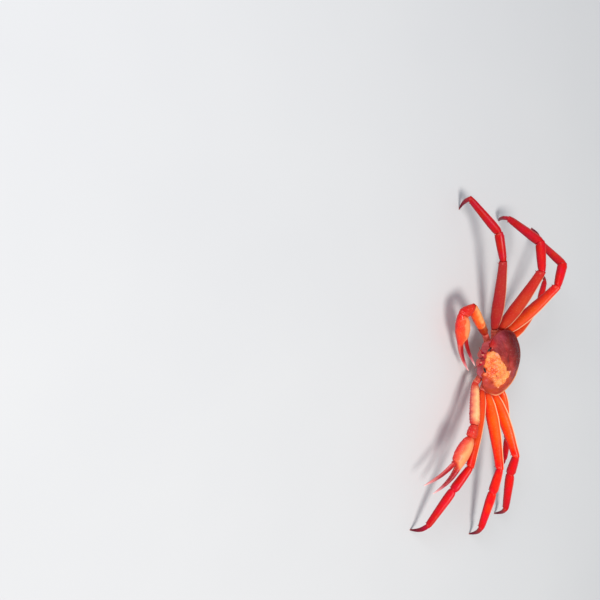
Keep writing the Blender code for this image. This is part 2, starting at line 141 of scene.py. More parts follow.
# Chelipeds. Lengths: merus, carpus, palm, fixed finger, movable finger. Then the heading and pitch
# of merus, carpus and palm; how far the fixed finger curves in and both bend down; and the gape.
CHELIPED_LENGTHS = (73, 21, 51, 56, 57)
CHELIPED_ROOT = (42, -38, 32)
CHELIPED_COXA_HEADING = 40
CHELIPED_COXA_GIRTH = 0.94
CHELIPED_POSES = {
    "L": (((14.5, 23.8), (13.2, 4.5), (19.5, -5.1)), (5, 13.5), 23.5),
    "R": (((61.3, 14.1), (130.9, -11.9), (216.2, -16.6)), (3.5, -12), 11.5),
}
# How wide and how thick a shell is, as half sizes, at fractions of its length, and how far to each
# side of a corner, also as a fraction, the corner is rounded.
PROFILE_EASE = 0.022
MERUS = [(0, 5.2, 4.6), (0.05, 6.8, 5.3), (0.16, 9.2, 5.8), (0.34, 10.4, 6.1), (0.6, 9.4, 5.7),
         (0.84, 7.5, 5.1), (0.96, 7.1, 4.9), (1, 6.2, 4.5)]
CARPUS = [(0, 5.3, 4.1), (0.12, 6.0, 4.6), (0.45, 7.0, 5.1), (0.88, 7.6, 5.1), (1, 6.4, 4.5)]
PROPODUS = [(0, 5.6, 4.2), (0.06, 7.1, 4.7), (0.26, 7.3, 4.8), (0.62, 6.3, 4.2), (0.95, 5.3, 3.6),
            (1, 4.3, 3.2)]
DACTYLUS = [(0, 3.4, 2.9), (0.08, 4.2, 3.1), (0.34, 3.8, 2.8), (0.6, 3.0, 2.3), (0.82, 2.1, 1.7),
            (1, 1.2, 1.1)]
COXA = [(0, 5.6, 5.0), (0.25, 6.6, 5.4), (0.6, 6.2, 5.2), (0.85, 6.0, 5.2), (1, 5.0, 4.6)]
ARM = [(0, 5.0, 4.8), (0.1, 6.9, 6.4), (0.4, 8.3, 7.4), (0.75, 9.0, 8.0), (0.94, 8.2, 7.2), (1, 6.2, 5.6)]
WRIST = [(0, 6.1, 5.6), (0.25, 7.8, 7.0), (0.6, 9.4, 8.0), (0.85, 8.8, 7.4), (1, 6.2, 5.6)]
# The palm runs on into the fixed finger, whose fractions are of its own length. The last number
# shifts the section towards the claw's lower edge.
PALM = [(0, 6.0, 5.4, 0), (0.1, 9.4, 8.2, 0), (0.34, 13.0, 10.4, 0), (0.62, 13.8, 10.8, 0),
        (0.88, 11.4, 9.0, 0.4)]
FIXED_FINGER = [(-0.03, 5.8, 6.6, 5.0), (0.08, 4.8, 5.2, 6.0), (0.33, 4.0, 4.2, 6.6), (0.62, 3.0, 3.0, 6.2),
                (0.86, 1.8, 1.8, 5.2), (1, 0.7, 0.7, 4.4)]
FINGER = [(0, 3.2, 3.4, 0), (0.1, 3.7, 3.7, -0.8), (0.35, 3.2, 3.2, -1.2), (0.65, 2.5, 2.5, -0.6),
          (0.88, 1.5, 1.5, 1.0), (1, 0.7, 0.7, 2.2)]
# The movable finger's hinge, along the claw from the palm's end and across it.
FINGER_HINGE = (-1.0, 6.4)
FINGER_BOW = 2.6
CLAW_ROLL = -90.0
LEG_LEAN = 28.0
DACTYLUS_BOW = 3.4
MERUS_BOW = 2.0
JOINT_GAP = 0.2

# A joint: the neck that enters the next shell's socket, and the socket, each as millimetres along
# and share of the section; and how the shell's own end closes in on them.
NECK = [(-3.0, 0.72), (-1.6, 0.76), (-0.5, 0.80)]
NECK_SHARE = 0.86
SHOULDER = 1.3
LIP_SHARE = 0.96
LIP = 0.7
SOCKET = [(0.0, 0.93), (0.3, 0.91), (1.0, 0.88), (3.3, 0.85)]
SPINE_LEAN = 0.9

# Which way along X each side of the crab lies.
SIDES = {"L": 1, "R": -1}

# Colours in screen values from 0 to 255.
# The peach, orange and burnt orange paint sunlight on the back; the brown red, brick, mauve and dark crimson
# paint shade.
PEACH = (248, 152, 80)
ORANGE = (236, 98, 28)
BURNT_ORANGE = (200, 62, 14)
SHADE_MAUVE = (164, 64, 76)
ROSE = (200, 66, 56)
BRICK = (192, 62, 28)
BROWN_RED = (132, 36, 34)
SHADE_CRIMSON = (92, 8, 20)
CRIMSON = (196, 14, 52)
PALE = (255, 222, 200)
MEMBRANE = (186, 44, 34)
SPINE_TIP = (70, 14, 18)


def linear(colour):
    """Linear colour. A tuple is in screen values, and an array is linear already."""
    if not isinstance(colour, tuple):
        return colour
    share = np.array(colour) / 255
    return np.where(share <= 0.04045, share / 12.92, ((share + 0.055) / 1.055) ** 2.4)


def mix(first, second, share):
    """Colours between two, for an array of shares."""
    share = np.clip(np.asarray(share, dtype=float), 0, 1)[..., None]
    return linear(first) * (1 - share) + linear(second) * share


def layered(tints, *layers):
    """Colours with layers over them, each a colour and its share."""
    for colour, share in layers:
        tints = mix(tints, colour, share)
    return tints


def ramp(value, stops):
    """Colours for an array of values, through stops of value and colour."""
    places = [place for place, _ in stops]
    channels = np.transpose([linear(colour) for _, colour in stops])
    return np.stack([np.interp(value, places, channel) for channel in channels], axis=-1)


def smooth(value, low, high):
    """0 below low, 1 above high, and an even turn between."""
    share = np.clip((np.asarray(value) - low) / (high - low), 0, 1)
    return share * share * (3 - 2 * share)


def hill(value, middle, width):
    """1 at the middle, falling to 0 on both sides."""
    return np.exp(-((value - middle) / width) ** 2)


def mound(x, y, middle_x, middle_y, across, along):
    """1 at a place, falling to 0 round it."""
    return np.exp(-((x - middle_x) / across) ** 2 - ((y - middle_y) / along) ** 2)


def averaged(spots, places, values):
    """The mean of a table's values at several sets of spots."""
    return sum(np.interp(spot, places, values) for spot in spots) / len(spots)


def circle(count):
    """Turns spaced evenly round a circle, in radians."""
    return np.linspace(0, 2 * math.pi, count, endpoint=False)


def distance_run(route):
    """Distance along a route at each of its points."""
    return np.concatenate([[0], np.cumsum(np.linalg.norm(np.diff(route, axis=0), axis=1))])


def uneven(points, size, seed):
    """Smooth uneven values, about -1 to 1, whose lumps are about size mm across."""
    draw = np.random.default_rng(seed)
    total = np.zeros(points.shape[:-1])
    waves = 9
    for _ in range(waves):
        direction = draw.normal(size=3)
        direction /= np.linalg.norm(direction)
        length = 2 * size * draw.uniform(0.7, 1.5)
        total += np.sin(points @ direction * (2 * math.pi / length) + draw.uniform(0, 2 * math.pi))
    return total / math.sqrt(waves)


def unit(vector):
    return vector / np.linalg.norm(vector, axis=-1, keepdims=True)


def outward(points, faces, tints):
    """A closed surface with its faces turned outwards."""
    volume = 0.0
    for group in faces:
        corners = points[group]
        for i in range(1, group.shape[1] - 1):
            volume += np.einsum("ij,ij->", corners[:, 0], np.cross(corners[:, i], corners[:, i + 1]))
    if volume < 0:
        faces = [group[:, ::-1] for group in faces]
    return points, faces, tints


def tube(rings, tints):
    """A surface through rings of points, closed by a fan at both ends."""
    rows, sides = rings.shape[:2]
    points = np.vstack([rings.reshape(-1, 3), rings[0].mean(axis=0), rings[-1].mean(axis=0)])
    tints = np.vstack([tints.reshape(-1, 3), tints[0].mean(axis=0), tints[-1].mean(axis=0)])
    index = np.arange(rows * sides).reshape(rows, sides)
    beside = np.roll(index, -1, axis=1)
    quads = np.stack([index[:-1], beside[:-1], beside[1:], index[1:]], axis=-1).reshape(-1, 4)
    first = np.full(sides, rows * sides)
    fans = np.vstack([np.stack([beside[0], index[0], first], axis=-1),
                      np.stack([index[-1], beside[-1], first + 1], axis=-1)])
    return outward(points, [quads, fans], tints)


def join(shapes):
    """Several closed surfaces as one shape."""
    faces, start = [], 0
    for points, groups, _ in shapes:
        faces += [group + start for group in groups]
        start += len(points)
    return np.vstack([s[0] for s in shapes]), faces, np.vstack([s[2] for s in shapes])


def to_metres(points):
    return (points + BODY_OFFSET) * MM


def add_piece(node, slot, shape, name=None):
    """A piece of the crab that stands for a CAD node."""
    points, faces, tints = shape
    name = name or "surface_" + node
    points = np.clip(to_metres(points), *CAD_BOX)
    mesh = bpy.data.meshes.new(name)
    mesh.vertices.add(len(points))
    mesh.vertices.foreach_set("co", points.ravel())
    corners = np.concatenate([group.ravel() for group in faces])
    sizes = np.concatenate([np.full(len(group), group.shape[1]) for group in faces])
    mesh.loops.add(len(corners))
    mesh.loops.foreach_set("vertex_index", corners)
    mesh.polygons.add(len(sizes))
    mesh.polygons.foreach_set("loop_start", np.concatenate([[0], np.cumsum(sizes)[:-1]]))
    mesh.update(calc_edges=True)
    tint = mesh.attributes.new("tint", "FLOAT_COLOR", "POINT")
    tint.data.foreach_set("color", np.hstack([np.clip(tints, 0, 1), np.ones((len(tints), 1))]).ravel())
    mesh.shade_smooth()
    mesh.materials.append(MATERIALS[slot])
    piece = bpy.data.objects.new(name, mesh)
    bpy.context.scene.collection.objects.link(piece)
    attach(piece, "root")
    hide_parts(node)


def normals_of(rings):
    """Outward directions of a grid of rings."""
    around = np.roll(rings, -1, axis=1) - np.roll(rings, 1, axis=1)
    normals = unit(np.cross(around, np.gradient(rings, axis=0)) + 1e-12)
    outwards = rings - rings.mean(axis=1, keepdims=True)
    return normals * np.sign(np.sum(normals * outwards))


def knobs(points, centres, radii, heights):
    """How far round knobs lift each point, and how near to a knob's top it is, from 0 to 1."""
    order = np.argsort(points[:, 0])
    across = points[order, 0]
    lift = np.zeros(len(points))
    top = np.zeros(len(points))
    for centre, radius, height in zip(centres, radii, heights):
        first, last = np.searchsorted(across, (centre[0] - radius, centre[0] + radius))
        near = order[first:last]
        share = np.linalg.norm(points[near] - centre, axis=1) / radius
        near, share = near[share < 1], share[share < 1]
        swell = (1 - share ** 2) ** 2
        lift[near] = np.maximum(lift[near], height * swell)
        top[near] = np.maximum(top[near], swell)
    return lift, top


def scatter(points, spacing, tries, seed):
    """Indices of points drawn at random, none nearer to another than spacing."""
    draw = np.random.default_rng(seed)
    boxes, chosen = {}, []
    for i in draw.permutation(len(points))[:tries]:
        home = np.floor(points[i] / spacing).astype(int)
        around = [boxes.get((home[0] + a, home[1] + b, home[2] + c), [])
                  for a in (-1, 0, 1) for b in (-1, 0, 1) for c in (-1, 0, 1)]
        if all(np.linalg.norm(points[i] - points[j]) >= spacing for box in around for j in box):
            boxes.setdefault(tuple(home), []).append(i)
            chosen.append(i)
    return np.array(chosen, dtype=int)


def rounding(from_end, radius, least):
    """How far a rounded end closes in, from its distance to the end."""
    return np.sqrt(1 - (1 - np.clip(from_end / radius, least, 1)) ** 2)


def rod(route, wide, thick, up, colour, tip_colour, sides, rows, round_ends=(1.0, 1.0)):
    """A rounded bar along a smooth curve through a route; wide and thick are half sizes along it."""
    route = np.array(route, dtype=float)
    padded = np.vstack([2 * route[0] - route[1], route, 2 * route[-1] - route[-2]])
    place = np.linspace(0, len(route) - 1, rows)
    piece = np.minimum(place.astype(int), len(route) - 2)
    t = (place - piece)[:, None]
    a, b, c, d = (padded[piece + i] for i in range(4))
    middle = 0.5 * (2 * b + (c - a) * t + (2 * a - 5 * b + 4 * c - d) * t ** 2
                    + (3 * b - a - 3 * c + d) * t ** 3)
    along = unit(np.gradient(middle, axis=0))
    across = unit(np.cross(np.array(up, dtype=float), along))
    lift = np.cross(along, across)
    share = place / place[-1]
    width = np.interp(share, np.linspace(0, 1, len(wide)), wide)
    depth = np.interp(share, np.linspace(0, 1, len(thick)), thick)
    run = distance_run(middle)
    for radius, from_end in zip(round_ends, (run, run[-1] - run)):
        if radius > 0:
            closing = rounding(from_end, radius, 0.02)
            width, depth = width * closing, depth * closing
    turn = circle(sides)
    rings = (middle[:, None] + across[:, None] * (width[:, None] * np.cos(turn))[..., None]
             + lift[:, None] * (depth[:, None] * np.sin(turn))[..., None])
    return tube(rings, mix(colour, tip_colour, np.repeat(share[:, None], sides, axis=1)))


def band(centre, axis, across, wide, thick, radius, colour):
    """A rounded ring round an axis, such as the lip of a socket."""
    sides, section_sides = 48, 12
    across = unit(np.array(across))
    beside = np.cross(unit(np.array(axis)), across)
    turn, section = circle(sides)[:, None], circle(section_sides)[None, :, None]
    spoke = across * np.cos(turn) * wide + beside * np.sin(turn) * thick
    points = (np.array(centre) + spoke[:, None] + unit(spoke)[:, None] * (radius * np.cos(section))
              + unit(np.array(axis)) * (radius * np.sin(section)))
    index = np.arange(sides * section_sides).reshape(sides, section_sides)
    further = np.roll(index, -1, axis=0)
    quads = np.stack([index, np.roll(index, -1, axis=1), np.roll(further, -1, axis=1), further], axis=-1)
    return outward(points.reshape(-1, 3), [quads.reshape(-1, 4)], np.tile(linear(colour), (index.size, 1)))


class Limb:
    """One stretch of a limb: where it starts, which way it runs and the axes across it."""

    def __init__(self, side, start, heading, pitch, length, lean=0.0):
        turn, tilt, roll = np.radians([heading, pitch, lean])
        level = np.array([side * math.cos(turn), -math.sin(turn), 0.0])
        ahead = np.array([-side * math.sin(turn), -math.cos(turn), 0.0])
        rise = np.array([0, 0, math.cos(tilt)]) - level * math.sin(tilt)
        self.start = np.array(start, dtype=float)
        self.along = level * math.cos(tilt) + np.array([0, 0, math.sin(tilt)])
        self.length = length
        self.end = self.start + self.along * length
        self.wide = rise * math.cos(roll) - ahead * math.sin(roll)
        self.thick = ahead * math.cos(roll) + rise * math.sin(roll)

    def opened(self, start, angle, length):
        """A stretch from another point, turned from this one towards its wide side."""
        turn = math.radians(angle)
        finger = Limb.__new__(Limb)
        finger.start = start
        finger.length = length
        finger.along = self.along * math.cos(turn) + self.wide * math.sin(turn)
        finger.wide = self.wide * math.cos(turn) - self.along * math.sin(turn)
        finger.thick = self.thick
        finger.end = start + finger.along * length
        return finger


class Shell:
    """The fine surface of one limb segment: rings, their fractions and turns, and its spines."""

    def __init__(self, limb, profile, girth, sides, step, before=None, after=None, bow=0.0, floor=False,
                 bend=(0.0, 0.0), bend_from=0.0, edge=1.0, relief=None):
        self.limb = limb
        f = np.linspace(0, 1, int(limb.length / step) + 1)[:, None]
        a = circle(sides)[None, :]
        from_start, from_end = f * limb.length, (1 - f) * limb.length
        round_off = np.ones_like(f)
        if before is not None:
            round_off = round_off * (NECK_SHARE + (1 - NECK_SHARE) * rounding(from_start, SHOULDER, 0))
        if after is not None:
            round_off = round_off * (1 - (1 - LIP_SHARE) * np.clip(1 - from_end / LIP, 0, 1) ** 2)
        extra = 0.0 if relief is None else relief(f, a)
        wide = (eased(profile, 1, f) * girth + extra) * round_off
        thick = (eased(profile, 2, f) * girth + extra) * round_off
        lift = (bow * np.sin(math.pi * f) - eased(profile, 3, f)) * girth
        share = np.clip((f - bend_from) / (1 - bend_from), 0, 1) ** 2
        across = wide * np.cos(a) + lift + bend[0] * share
        upright = thick * np.sign(np.sin(a)) * np.abs(np.sin(a)) ** edge + bend[1] * share
        off = across[..., None] * limb.wide + upright[..., None] * limb.thick
        place = np.repeat(from_start, sides, axis=1)
        ends = []
        if before is not None:
            ends.append((0, limb.start + limb.along * JOINT_GAP, unit(limb.along + before)))
        if after is not None:
            ends.append((-1, limb.end - limb.along * JOINT_GAP, unit(limb.along + after)))
        if floor:
            ends.append((-1, limb.end, np.array([0, 0, 1.0])))
        for last, point, normal in ends:
            met = ((point - limb.start - off[last]) @ normal) / (limb.along @ normal)
            shift = met - place[last]
            fade = 3 * np.abs(shift).max() + 0.5
            distance = from_start if last == 0 else from_end
            place = place + shift * np.clip(1 - distance / fade, 0, 1) ** 2
        rings = limb.start + off + place[..., None] * limb.along
        neck, socket = [], []
        if before is not None:
            neck = [limb.start + (rings[0] - limb.start) * (scale / NECK_SHARE) + unit(before) * depth
                    for depth, scale in NECK]
        if after is not None:
            socket = [limb.end + (rings[-1] - limb.end) * (scale / LIP_SHARE) - limb.along * depth
                      for depth, scale in SOCKET]
        self.neck, self.socket = len(neck), len(socket)
        self.rings = np.array([*neck, *rings, *socket])
        fractions = [0.0] * self.neck + list(f[:, 0]) + [1.0] * self.socket
        self.f = np.repeat(fractions, sides).reshape(-1, sides)
        self.a = np.repeat(a, len(self.rings), axis=0)
        self.extras = []
        self.top = np.zeros(self.f.shape)

    def spots(self, fraction, angle):
        """Rows and columns at fractions of the length and turns in degrees."""
        rows, sides = self.f.shape
        row = self.neck + np.round(fraction * (rows - self.neck - self.socket - 1)).astype(int)
        return row, np.round(angle / 360 * sides).astype(int) % sides

    def lift_knobs(self, knob_list):
        """Raises knobs, given as fraction, turn in degrees, radius and height."""
        fractions, angles, radii, heights = np.transpose(knob_list)
        self.raise_at(self.rings[self.spots(fractions, angles)], radii, heights)

    def raise_at(self, centres, radii, heights):
        lift, top = (values.reshape(self.top.shape)
                     for values in knobs(self.rings.reshape(-1, 3), centres, radii, heights))
        lift[:self.neck] = 0
        lift[len(lift) - self.socket:] = 0
        self.rings = self.rings + normals_of(self.rings) * lift[..., None]
        self.top = np.maximum(self.top, top * (lift > 0))

    def sprinkle(self, spacing, radius, height, seed, end=1.0):
        """Scatters small grains, unevenly sized, up to a fraction of the length."""
        main = slice(self.neck + 3, len(self.rings) - self.socket - 2)
        flat = self.rings[main].reshape(-1, 3)
        chosen = scatter(flat, spacing, 9000, seed)
        chosen = chosen[self.f[main].reshape(-1)[chosen] < end]
        size = np.random.default_rng(seed + 1).uniform(0.6, 1.15, len(chosen))
        self.raise_at(flat[chosen], radius * size, height * size)

    def add_spine(self, fraction, angle, length, radius, colour):
        """Adds a short pointed spine that leans along the limb."""
        spot = self.spots(np.array(fraction), np.array(angle))
        direction = unit(normals_of(self.rings)[spot] + self.limb.along * SPINE_LEAN)
        foot = self.rings[spot] - direction * radius
        route = [foot, foot + direction * (length * 0.5 + radius), foot + direction * (length + radius)]
        taper = [radius, radius * 0.62, radius * 0.16]
        side = unit(np.cross(direction, [0.31, 0.17, 0.94]))
        self.extras.append(rod(route, taper, taper, side, colour, SPINE_TIP, 12, 14, (0.0, 0.5)))

    def add(self, node, slot, tints):
        """Adds the closed shape as a piece, with the joint's inside in the membrane's colour, darkened
        deeper in the socket as a painted shade.
        """
        membrane = linear(MEMBRANE)
        tints[:self.neck] = membrane
        # Painted shade: the socket's inside darkens further in.
        for i in range(self.socket):
            tints[i - self.socket] = mix(membrane, membrane * 0.35, (i + 1) / self.socket)
        add_piece(node, slot, join([tube(self.rings, tints)] + self.extras))


def eased(table, column, at):
    """A profile's value at fractions of its length, with its corners rounded."""
    places = [row[0] for row in table]
    values = [row[column] if len(row) > column else 0.0 for row in table]
    return averaged([at + step for step in np.linspace(-PROFILE_EASE, PROFILE_EASE, 9)], places, values)


def new_material(name):
    """A material, its node tree and its object coordinates."""
    material = bpy.data.materials.new(name)
    material.use_nodes = True
    tree = material.node_tree
    return material, tree, tree.nodes.new("ShaderNodeTexCoord").outputs["Object"]


def set_inputs(tree, node, inputs):
    """Sets a node's inputs, by name or number, to values, or links them to other nodes' outputs."""
    for key, value in inputs.items():
        if isinstance(value, bpy.types.NodeSocket):
            tree.links.new(value, node.inputs[key])
        else:
            node.inputs[key].default_value = value


def add_node(tree, kind, inputs, output):
    """Adds a shader node and gives one of its outputs."""
    node = tree.nodes.new("ShaderNode" + kind)
    set_inputs(tree, node, inputs)
    return node.outputs[output]


def noise(tree, place, size, detail=3.0, roughness=0.55):
    """Noise whose lumps are about size mm across."""
    inputs = {"Vector": place, "Scale": 1 / (size * MM), "Detail": detail, "Roughness": roughness}
    return add_node(tree, "TexNoise", inputs, "Fac")


def cells(tree, place, size):
    """Distance from the middles of uneven cells about size mm across."""
    return add_node(tree, "TexVoronoi", {"Vector": place, "Scale": 1 / (size * MM)}, "Distance")


def stretch(tree, value, new_low, new_high, low=0.3, high=0.7):
    """A value spread from one range to another."""
    inputs = {"Value": value, "From Min": low, "From Max": high, "To Min": new_low, "To Max": new_high}
    return add_node(tree, "MapRange", inputs, "Result")


def blend(tree, share, first, second):
    """A colour between two colours."""
    node = tree.nodes.new("ShaderNodeMix")
    node.data_type = "RGBA"
    set_inputs(tree, node, {"Factor": share, 6: first, 7: second})
    return node.outputs[2]


def bump(tree, height, strength, depth):
    """The normal of a surface with a relief that is depth mm deep."""
    inputs = {"Height": height, "Strength": strength, "Distance": depth * MM}
    return add_node(tree, "Bump", inputs, "Normal")


def shell_material(name, roughness, coat, grain, grain_depth, mottle, speckle):
    """Crab shell: the point colours, mottled and speckled, with fine grain and a damp skin."""
    material, tree, place = new_material(name)
    tint = tree.nodes.new("ShaderNodeAttribute")
    tint.attribute_name = "tint"
    mottled = add_node(tree, "HueSaturation", {
        "Color": tint.outputs["Color"],
        "Value": stretch(tree, noise(tree, place, 7.0, 5.0, 0.62), 1 - mottle, 1 + mottle),
        "Hue": stretch(tree, noise(tree, place, 18.0), 0.5 - mottle * 0.07, 0.5 + mottle * 0.07)}, "Color")
    dots = stretch(tree, cells(tree, place, 1.5), speckle, 0.0, 0.10, 0.34)
    set_inputs(tree, tree.nodes["Principled BSDF"], {
        "Base Color": blend(tree, dots, mottled, (*linear((255, 214, 190)), 1)),
        "Roughness": stretch(tree, noise(tree, place, 2.5, 4.0), roughness - 0.08, roughness + 0.1),
        "Coat Weight": coat,
        "Coat Roughness": 0.18,
        "Specular IOR Level": 0.15,
        "Normal": bump(tree, noise(tree, place, grain, 4.0, 0.6), 0.6, grain_depth)})
    return material


def cornea_material():
    """The eye: nearly black, wet, with a fine honeycomb of facets."""
    material, tree, place = new_material("cornea")
    tone = blend(tree, noise(tree, place, 3.0), (0.035, 0.012, 0.014, 1), (0.006, 0.004, 0.005, 1))
    set_inputs(tree, tree.nodes["Principled BSDF"], {
        "Base Color": tone,
        "Roughness": 0.24,
        "Specular IOR Level": 0.2,
        "Coat Weight": 0.15,
        "Coat Roughness": 0.08,
        "Normal": bump(tree, cells(tree, place, 0.28), 0.25, 0.05)})
    return material


# Shell materials: roughness, coat, size and depth of the grain in mm, mottling and pale speckles.
SHELLS = {
    "shell": (0.46, 0.09, 0.55, 0.14, 0.07, 0.04),
    "underside": (0.48, 0.10, 0.7, 0.12, 0.08, 0.18),
    "mouth": (0.44, 0.12, 0.6, 0.12, 0.08, 0.10),
    "feeler": (0.45, 0.1, 0.3, 0.06, 0.10, 0.05),
    "leg_root": (0.42, 0.12, 0.6, 0.12, 0.10, 0.14),
    "leg_upper": (0.36, 0.08, 0.6, 0.07, 0.05, 0.06),
    "leg_lower": (0.36, 0.08, 0.6, 0.08, 0.06, 0.03),
    "leg_tip": (0.38, 0.08, 0.5, 0.07, 0.10, 0.02),
    "claw": (0.40, 0.14, 0.6, 0.12, 0.06, 0.14),
    "claw_finger": (0.36, 0.16, 0.5, 0.07, 0.08, 0.04),
}
MATERIALS = {slot: shell_material(slot, *values) for slot, values in SHELLS.items()}
MATERIALS["eye"] = cornea_material()


def leg_relief(f, a):
    """Keel along the upper edge, a softer one below, and a shallow furrow beside the keel."""
    turn = (a + math.pi) % (2 * math.pi) - math.pi
    below = (a % (2 * math.pi)) - math.pi
    middle = smooth(f, 0.04, 0.14) * (1 - smooth(f, 0.86, 0.97))
    keel = 0.45 * hill(turn, 0, 0.13) + 0.25 * hill(below, 0, 0.2)
    furrow = 0.35 * hill(turn, 0.42, 0.16) + 0.3 * hill(turn, -0.45, 0.18)
    return (keel - furrow) * middle


def fluted(f, a):
    """Fine lengthwise ribs, fading at both ends."""
    return 0.13 * np.cos(10 * a) * smooth(f, 0.06, 0.2) * (1 - smooth(f, 0.8, 1.0))


def waisted(f, a):
    """Two narrow creases round a root segment."""
    return -0.55 * (hill(f, 0.36, 0.035) + hill(f, 0.66, 0.03)) + 0 * a


def edge_rows(length, seed, rows, low=0.06, high=0.96):
    """Knobs in rows along a limb; a row gives its turn, and its grains' spacing, radius and height."""
    found = []
    for i, (turn, spacing, radius, height) in enumerate(rows):
        draw = np.random.default_rng(seed + i)
        count = max(2, int(length * (high - low) / spacing))
        for f in np.linspace(low, high, count) + draw.uniform(-0.2, 0.2, count) * (high - low) / count:
            found.append((f, turn + draw.uniform(-5, 5), radius * draw.uniform(0.8, 1.2),
                          height * draw.uniform(0.7, 1.2)))
    return found


# Painted shade by leg: how brick-coloured the merus is and how crimson the two next segments are.
LEG_PAINTED_SHADE = {("L", 1): (0.3, 0.45), ("L", 2): (0.0, 0.0), ("L", 3): (0.0, 0.35), ("L", 4): (0.1, 0.4),
              ("R", 1): (0.9, 0.75), ("R", 2): (0.7, 0.6), ("R", 3): (0.35, 0.4), ("R", 4): (0.3, 0.4)}


def merus_tints(shell, brick):
    """Orange, red along the front and lower edge, partly a painted shade, and towards the knee, with a
    painted highlight on the pale upper keel and painted shade in brick by leg.
    """
    edge, face = np.cos(shell.a), np.sin(shell.a)
    return layered(
        # Painted shade in dark red along the lower edge, and a painted highlight in pale peach along the
        # upper keel.
        ramp(edge, [(-1, (196, 6, 0)), (-0.88, (224, 18, 0)), (-0.5, (250, 48, 0)), (0.2, (255, 84, 8)),
                    (0.8, (252, 84, 16)), (0.93, (236, 66, 20)), (0.985, (255, 186, 140)),
                    (1, (255, 206, 168))]),
        ((244, 18, 0), 0.85 * smooth(shell.f, 0.55, 1.0) * (1 - smooth(edge, 0.93, 1.0))),
        ((214, 50, 30), 0.6 * (1 - smooth(shell.f, 0.0, 0.1))),
        # Painted shade in brick, by leg.
        ((160, 34, 36), brick * (1 - 0.5 * smooth(edge, 0.95, 1.0))),
        ((252, 140, 84), 0.55 * smooth(-face, 0.1, 0.8)),
        (PALE, 0.12 * shell.top))


def lower_tints(shell, distal, crimson):
    """Clear red, purplish along the lower edge as a painted shade and pinkish along the upper as a painted
    highlight, with painted shade in crimson by leg.
    """
    edge, face = np.cos(shell.a), np.sin(shell.a)
    return layered(
        # Painted shade in purple along the lower edge, and a painted highlight in pink along the upper.
        ramp(edge, [(-1, (158, 0, 34)), (-0.75, (208, 0, 22)), (-0.1, (248, 8, 4)), (0.55, (252, 16, 6)),
                    (0.9, (232, 20, 20)), (0.98, (244, 84, 70)), (1, (246, 104, 86))]),
        ((196, 0, 26), distal * smooth(shell.f, 0.35, 1.0)),
        # Painted shade in crimson, by leg.
        ((164, 0, 22), crimson),
        ((240, 84, 60), 0.45 * smooth(-face, 0.1, 0.8)),
        ((255, 150, 130), 0.12 * shell.top))


def tip_tints(shell):
    """Dark crimson, redder along the upper edge, with a paler point."""
    return layered(
        ramp(shell.f, [(0, (184, 0, 24)), (0.3, (140, 0, 34)), (0.8, (104, 0, 34)), (0.93, (120, 20, 40)),
                       (1, (180, 100, 80))]),
        ((210, 30, 50), 0.4 * smooth(np.cos(shell.a), 0.75, 1.0) * (1 - shell.f)))


def chain(side, start, turns, lengths, lean):
    """Stretches of a limb end to end, each with its heading and pitch."""
    limbs = []
    for (heading, pitch), length in zip(turns, lengths):
        limbs.append(Limb(side, start, heading, pitch, length, lean))
        start = limbs[-1].end
    return limbs


def walking_leg(side_name, number):
    """One of the eight walking legs, from its coxa to the flat on the floor at its tip."""
    side = SIDES[side_name]
    (x, y, z), coxa_heading = LEG_ROOTS[number]
    heading, pitches, twist, tucked = STANCE[side_name, number]
    lengths, girth = LEG_LENGTHS[number], LEG_GIRTH[number]
    # This leg's painted shade on the merus and the next two segments.
    brick, crimson = LEG_PAINTED_SHADE[side_name, number]
    seed = 10 * number + (0 if side > 0 else 5)
    root = np.array([side * x, y, z])
    coxa = coxa_of(side, root, coxa_heading)
    merus, carpus, propodus = chain(side, root, [(heading, pitch) for pitch in pitches], lengths, LEG_LEAN)
    drop = math.degrees(math.asin(propodus.end[2] / lengths[3]))
    pitch = drop - 180 if tucked else -drop
    tip = Limb(side, propodus.end, heading + twist, pitch, lengths[3], LEG_LEAN)
    stem = f"leg_{side_name}{number}_"
    root_segment(stem + "coxa", coxa, max(girth, COXA_LEAST_GIRTH), merus.along, seed)

    shell = Shell(merus, MERUS, girth, 72, 0.8, coxa.along, carpus.along, MERUS_BOW, edge=1.12,
                  relief=leg_relief)
    shell.lift_knobs(edge_rows(merus.length, seed, [(0, 2.6, 0.75, 0.24), (180, 2.8, 0.8, 0.3)]))
    shell.sprinkle(5.2, 0.7, 0.14, seed + 2)
    condyles(shell, girth)
    shell.add_spine(0.955, 176, 2.6 * girth, 0.85 * girth, (200, 20, 14))
    shell.add(stem + "merus", "leg_upper", merus_tints(shell, brick))

    for name, limb, profile, before, after, distal in (("carpus", carpus, CARPUS, merus, propodus, 0.25),
                                                       ("propodus", propodus, PROPODUS, carpus, tip, 0.75)):
        shell = Shell(limb, profile, girth, 60, 0.7, before.along, after.along, edge=1.08, relief=leg_relief)
        shell.lift_knobs(edge_rows(limb.length, seed + 3, [(0, 2.4, 0.7, 0.26), (182, 2.5, 0.7, 0.26)]))
        shell.sprinkle(4.4, 0.65, 0.15, seed + 6)
        condyles(shell, girth)
        shell.add_spine(0.95, 186, 2.0 * girth, 0.75 * girth, (190, 10, 20))
        shell.add(stem + name, "leg_lower", lower_tints(shell, distal, crimson))

    shell = Shell(tip, DACTYLUS, girth, 50, 0.5, propodus.along, None, DACTYLUS_BOW, floor=True,
                  relief=fluted)
    shell.lift_knobs(edge_rows(tip.length, seed + 7, [(180, 2.2, 0.5, 0.2)], high=0.75))
    shell.add(stem + "dactylus", "leg_tip", tip_tints(shell))


def condyles(shell, girth):
    """The two hinge knobs on the front and back of a shell's far end."""
    shell.lift_knobs([(0.975, turn, 2.3 * girth, 0.55 * girth) for turn in (90, 270)])


def coxa_of(side, root, heading):
    """The short first stretch, level, which ends at the root."""
    onward = Limb(side, root, heading, 0.0, COXA_LENGTH)
    return Limb(side, root - onward.along * COXA_LENGTH, heading, 0.0, COXA_LENGTH)


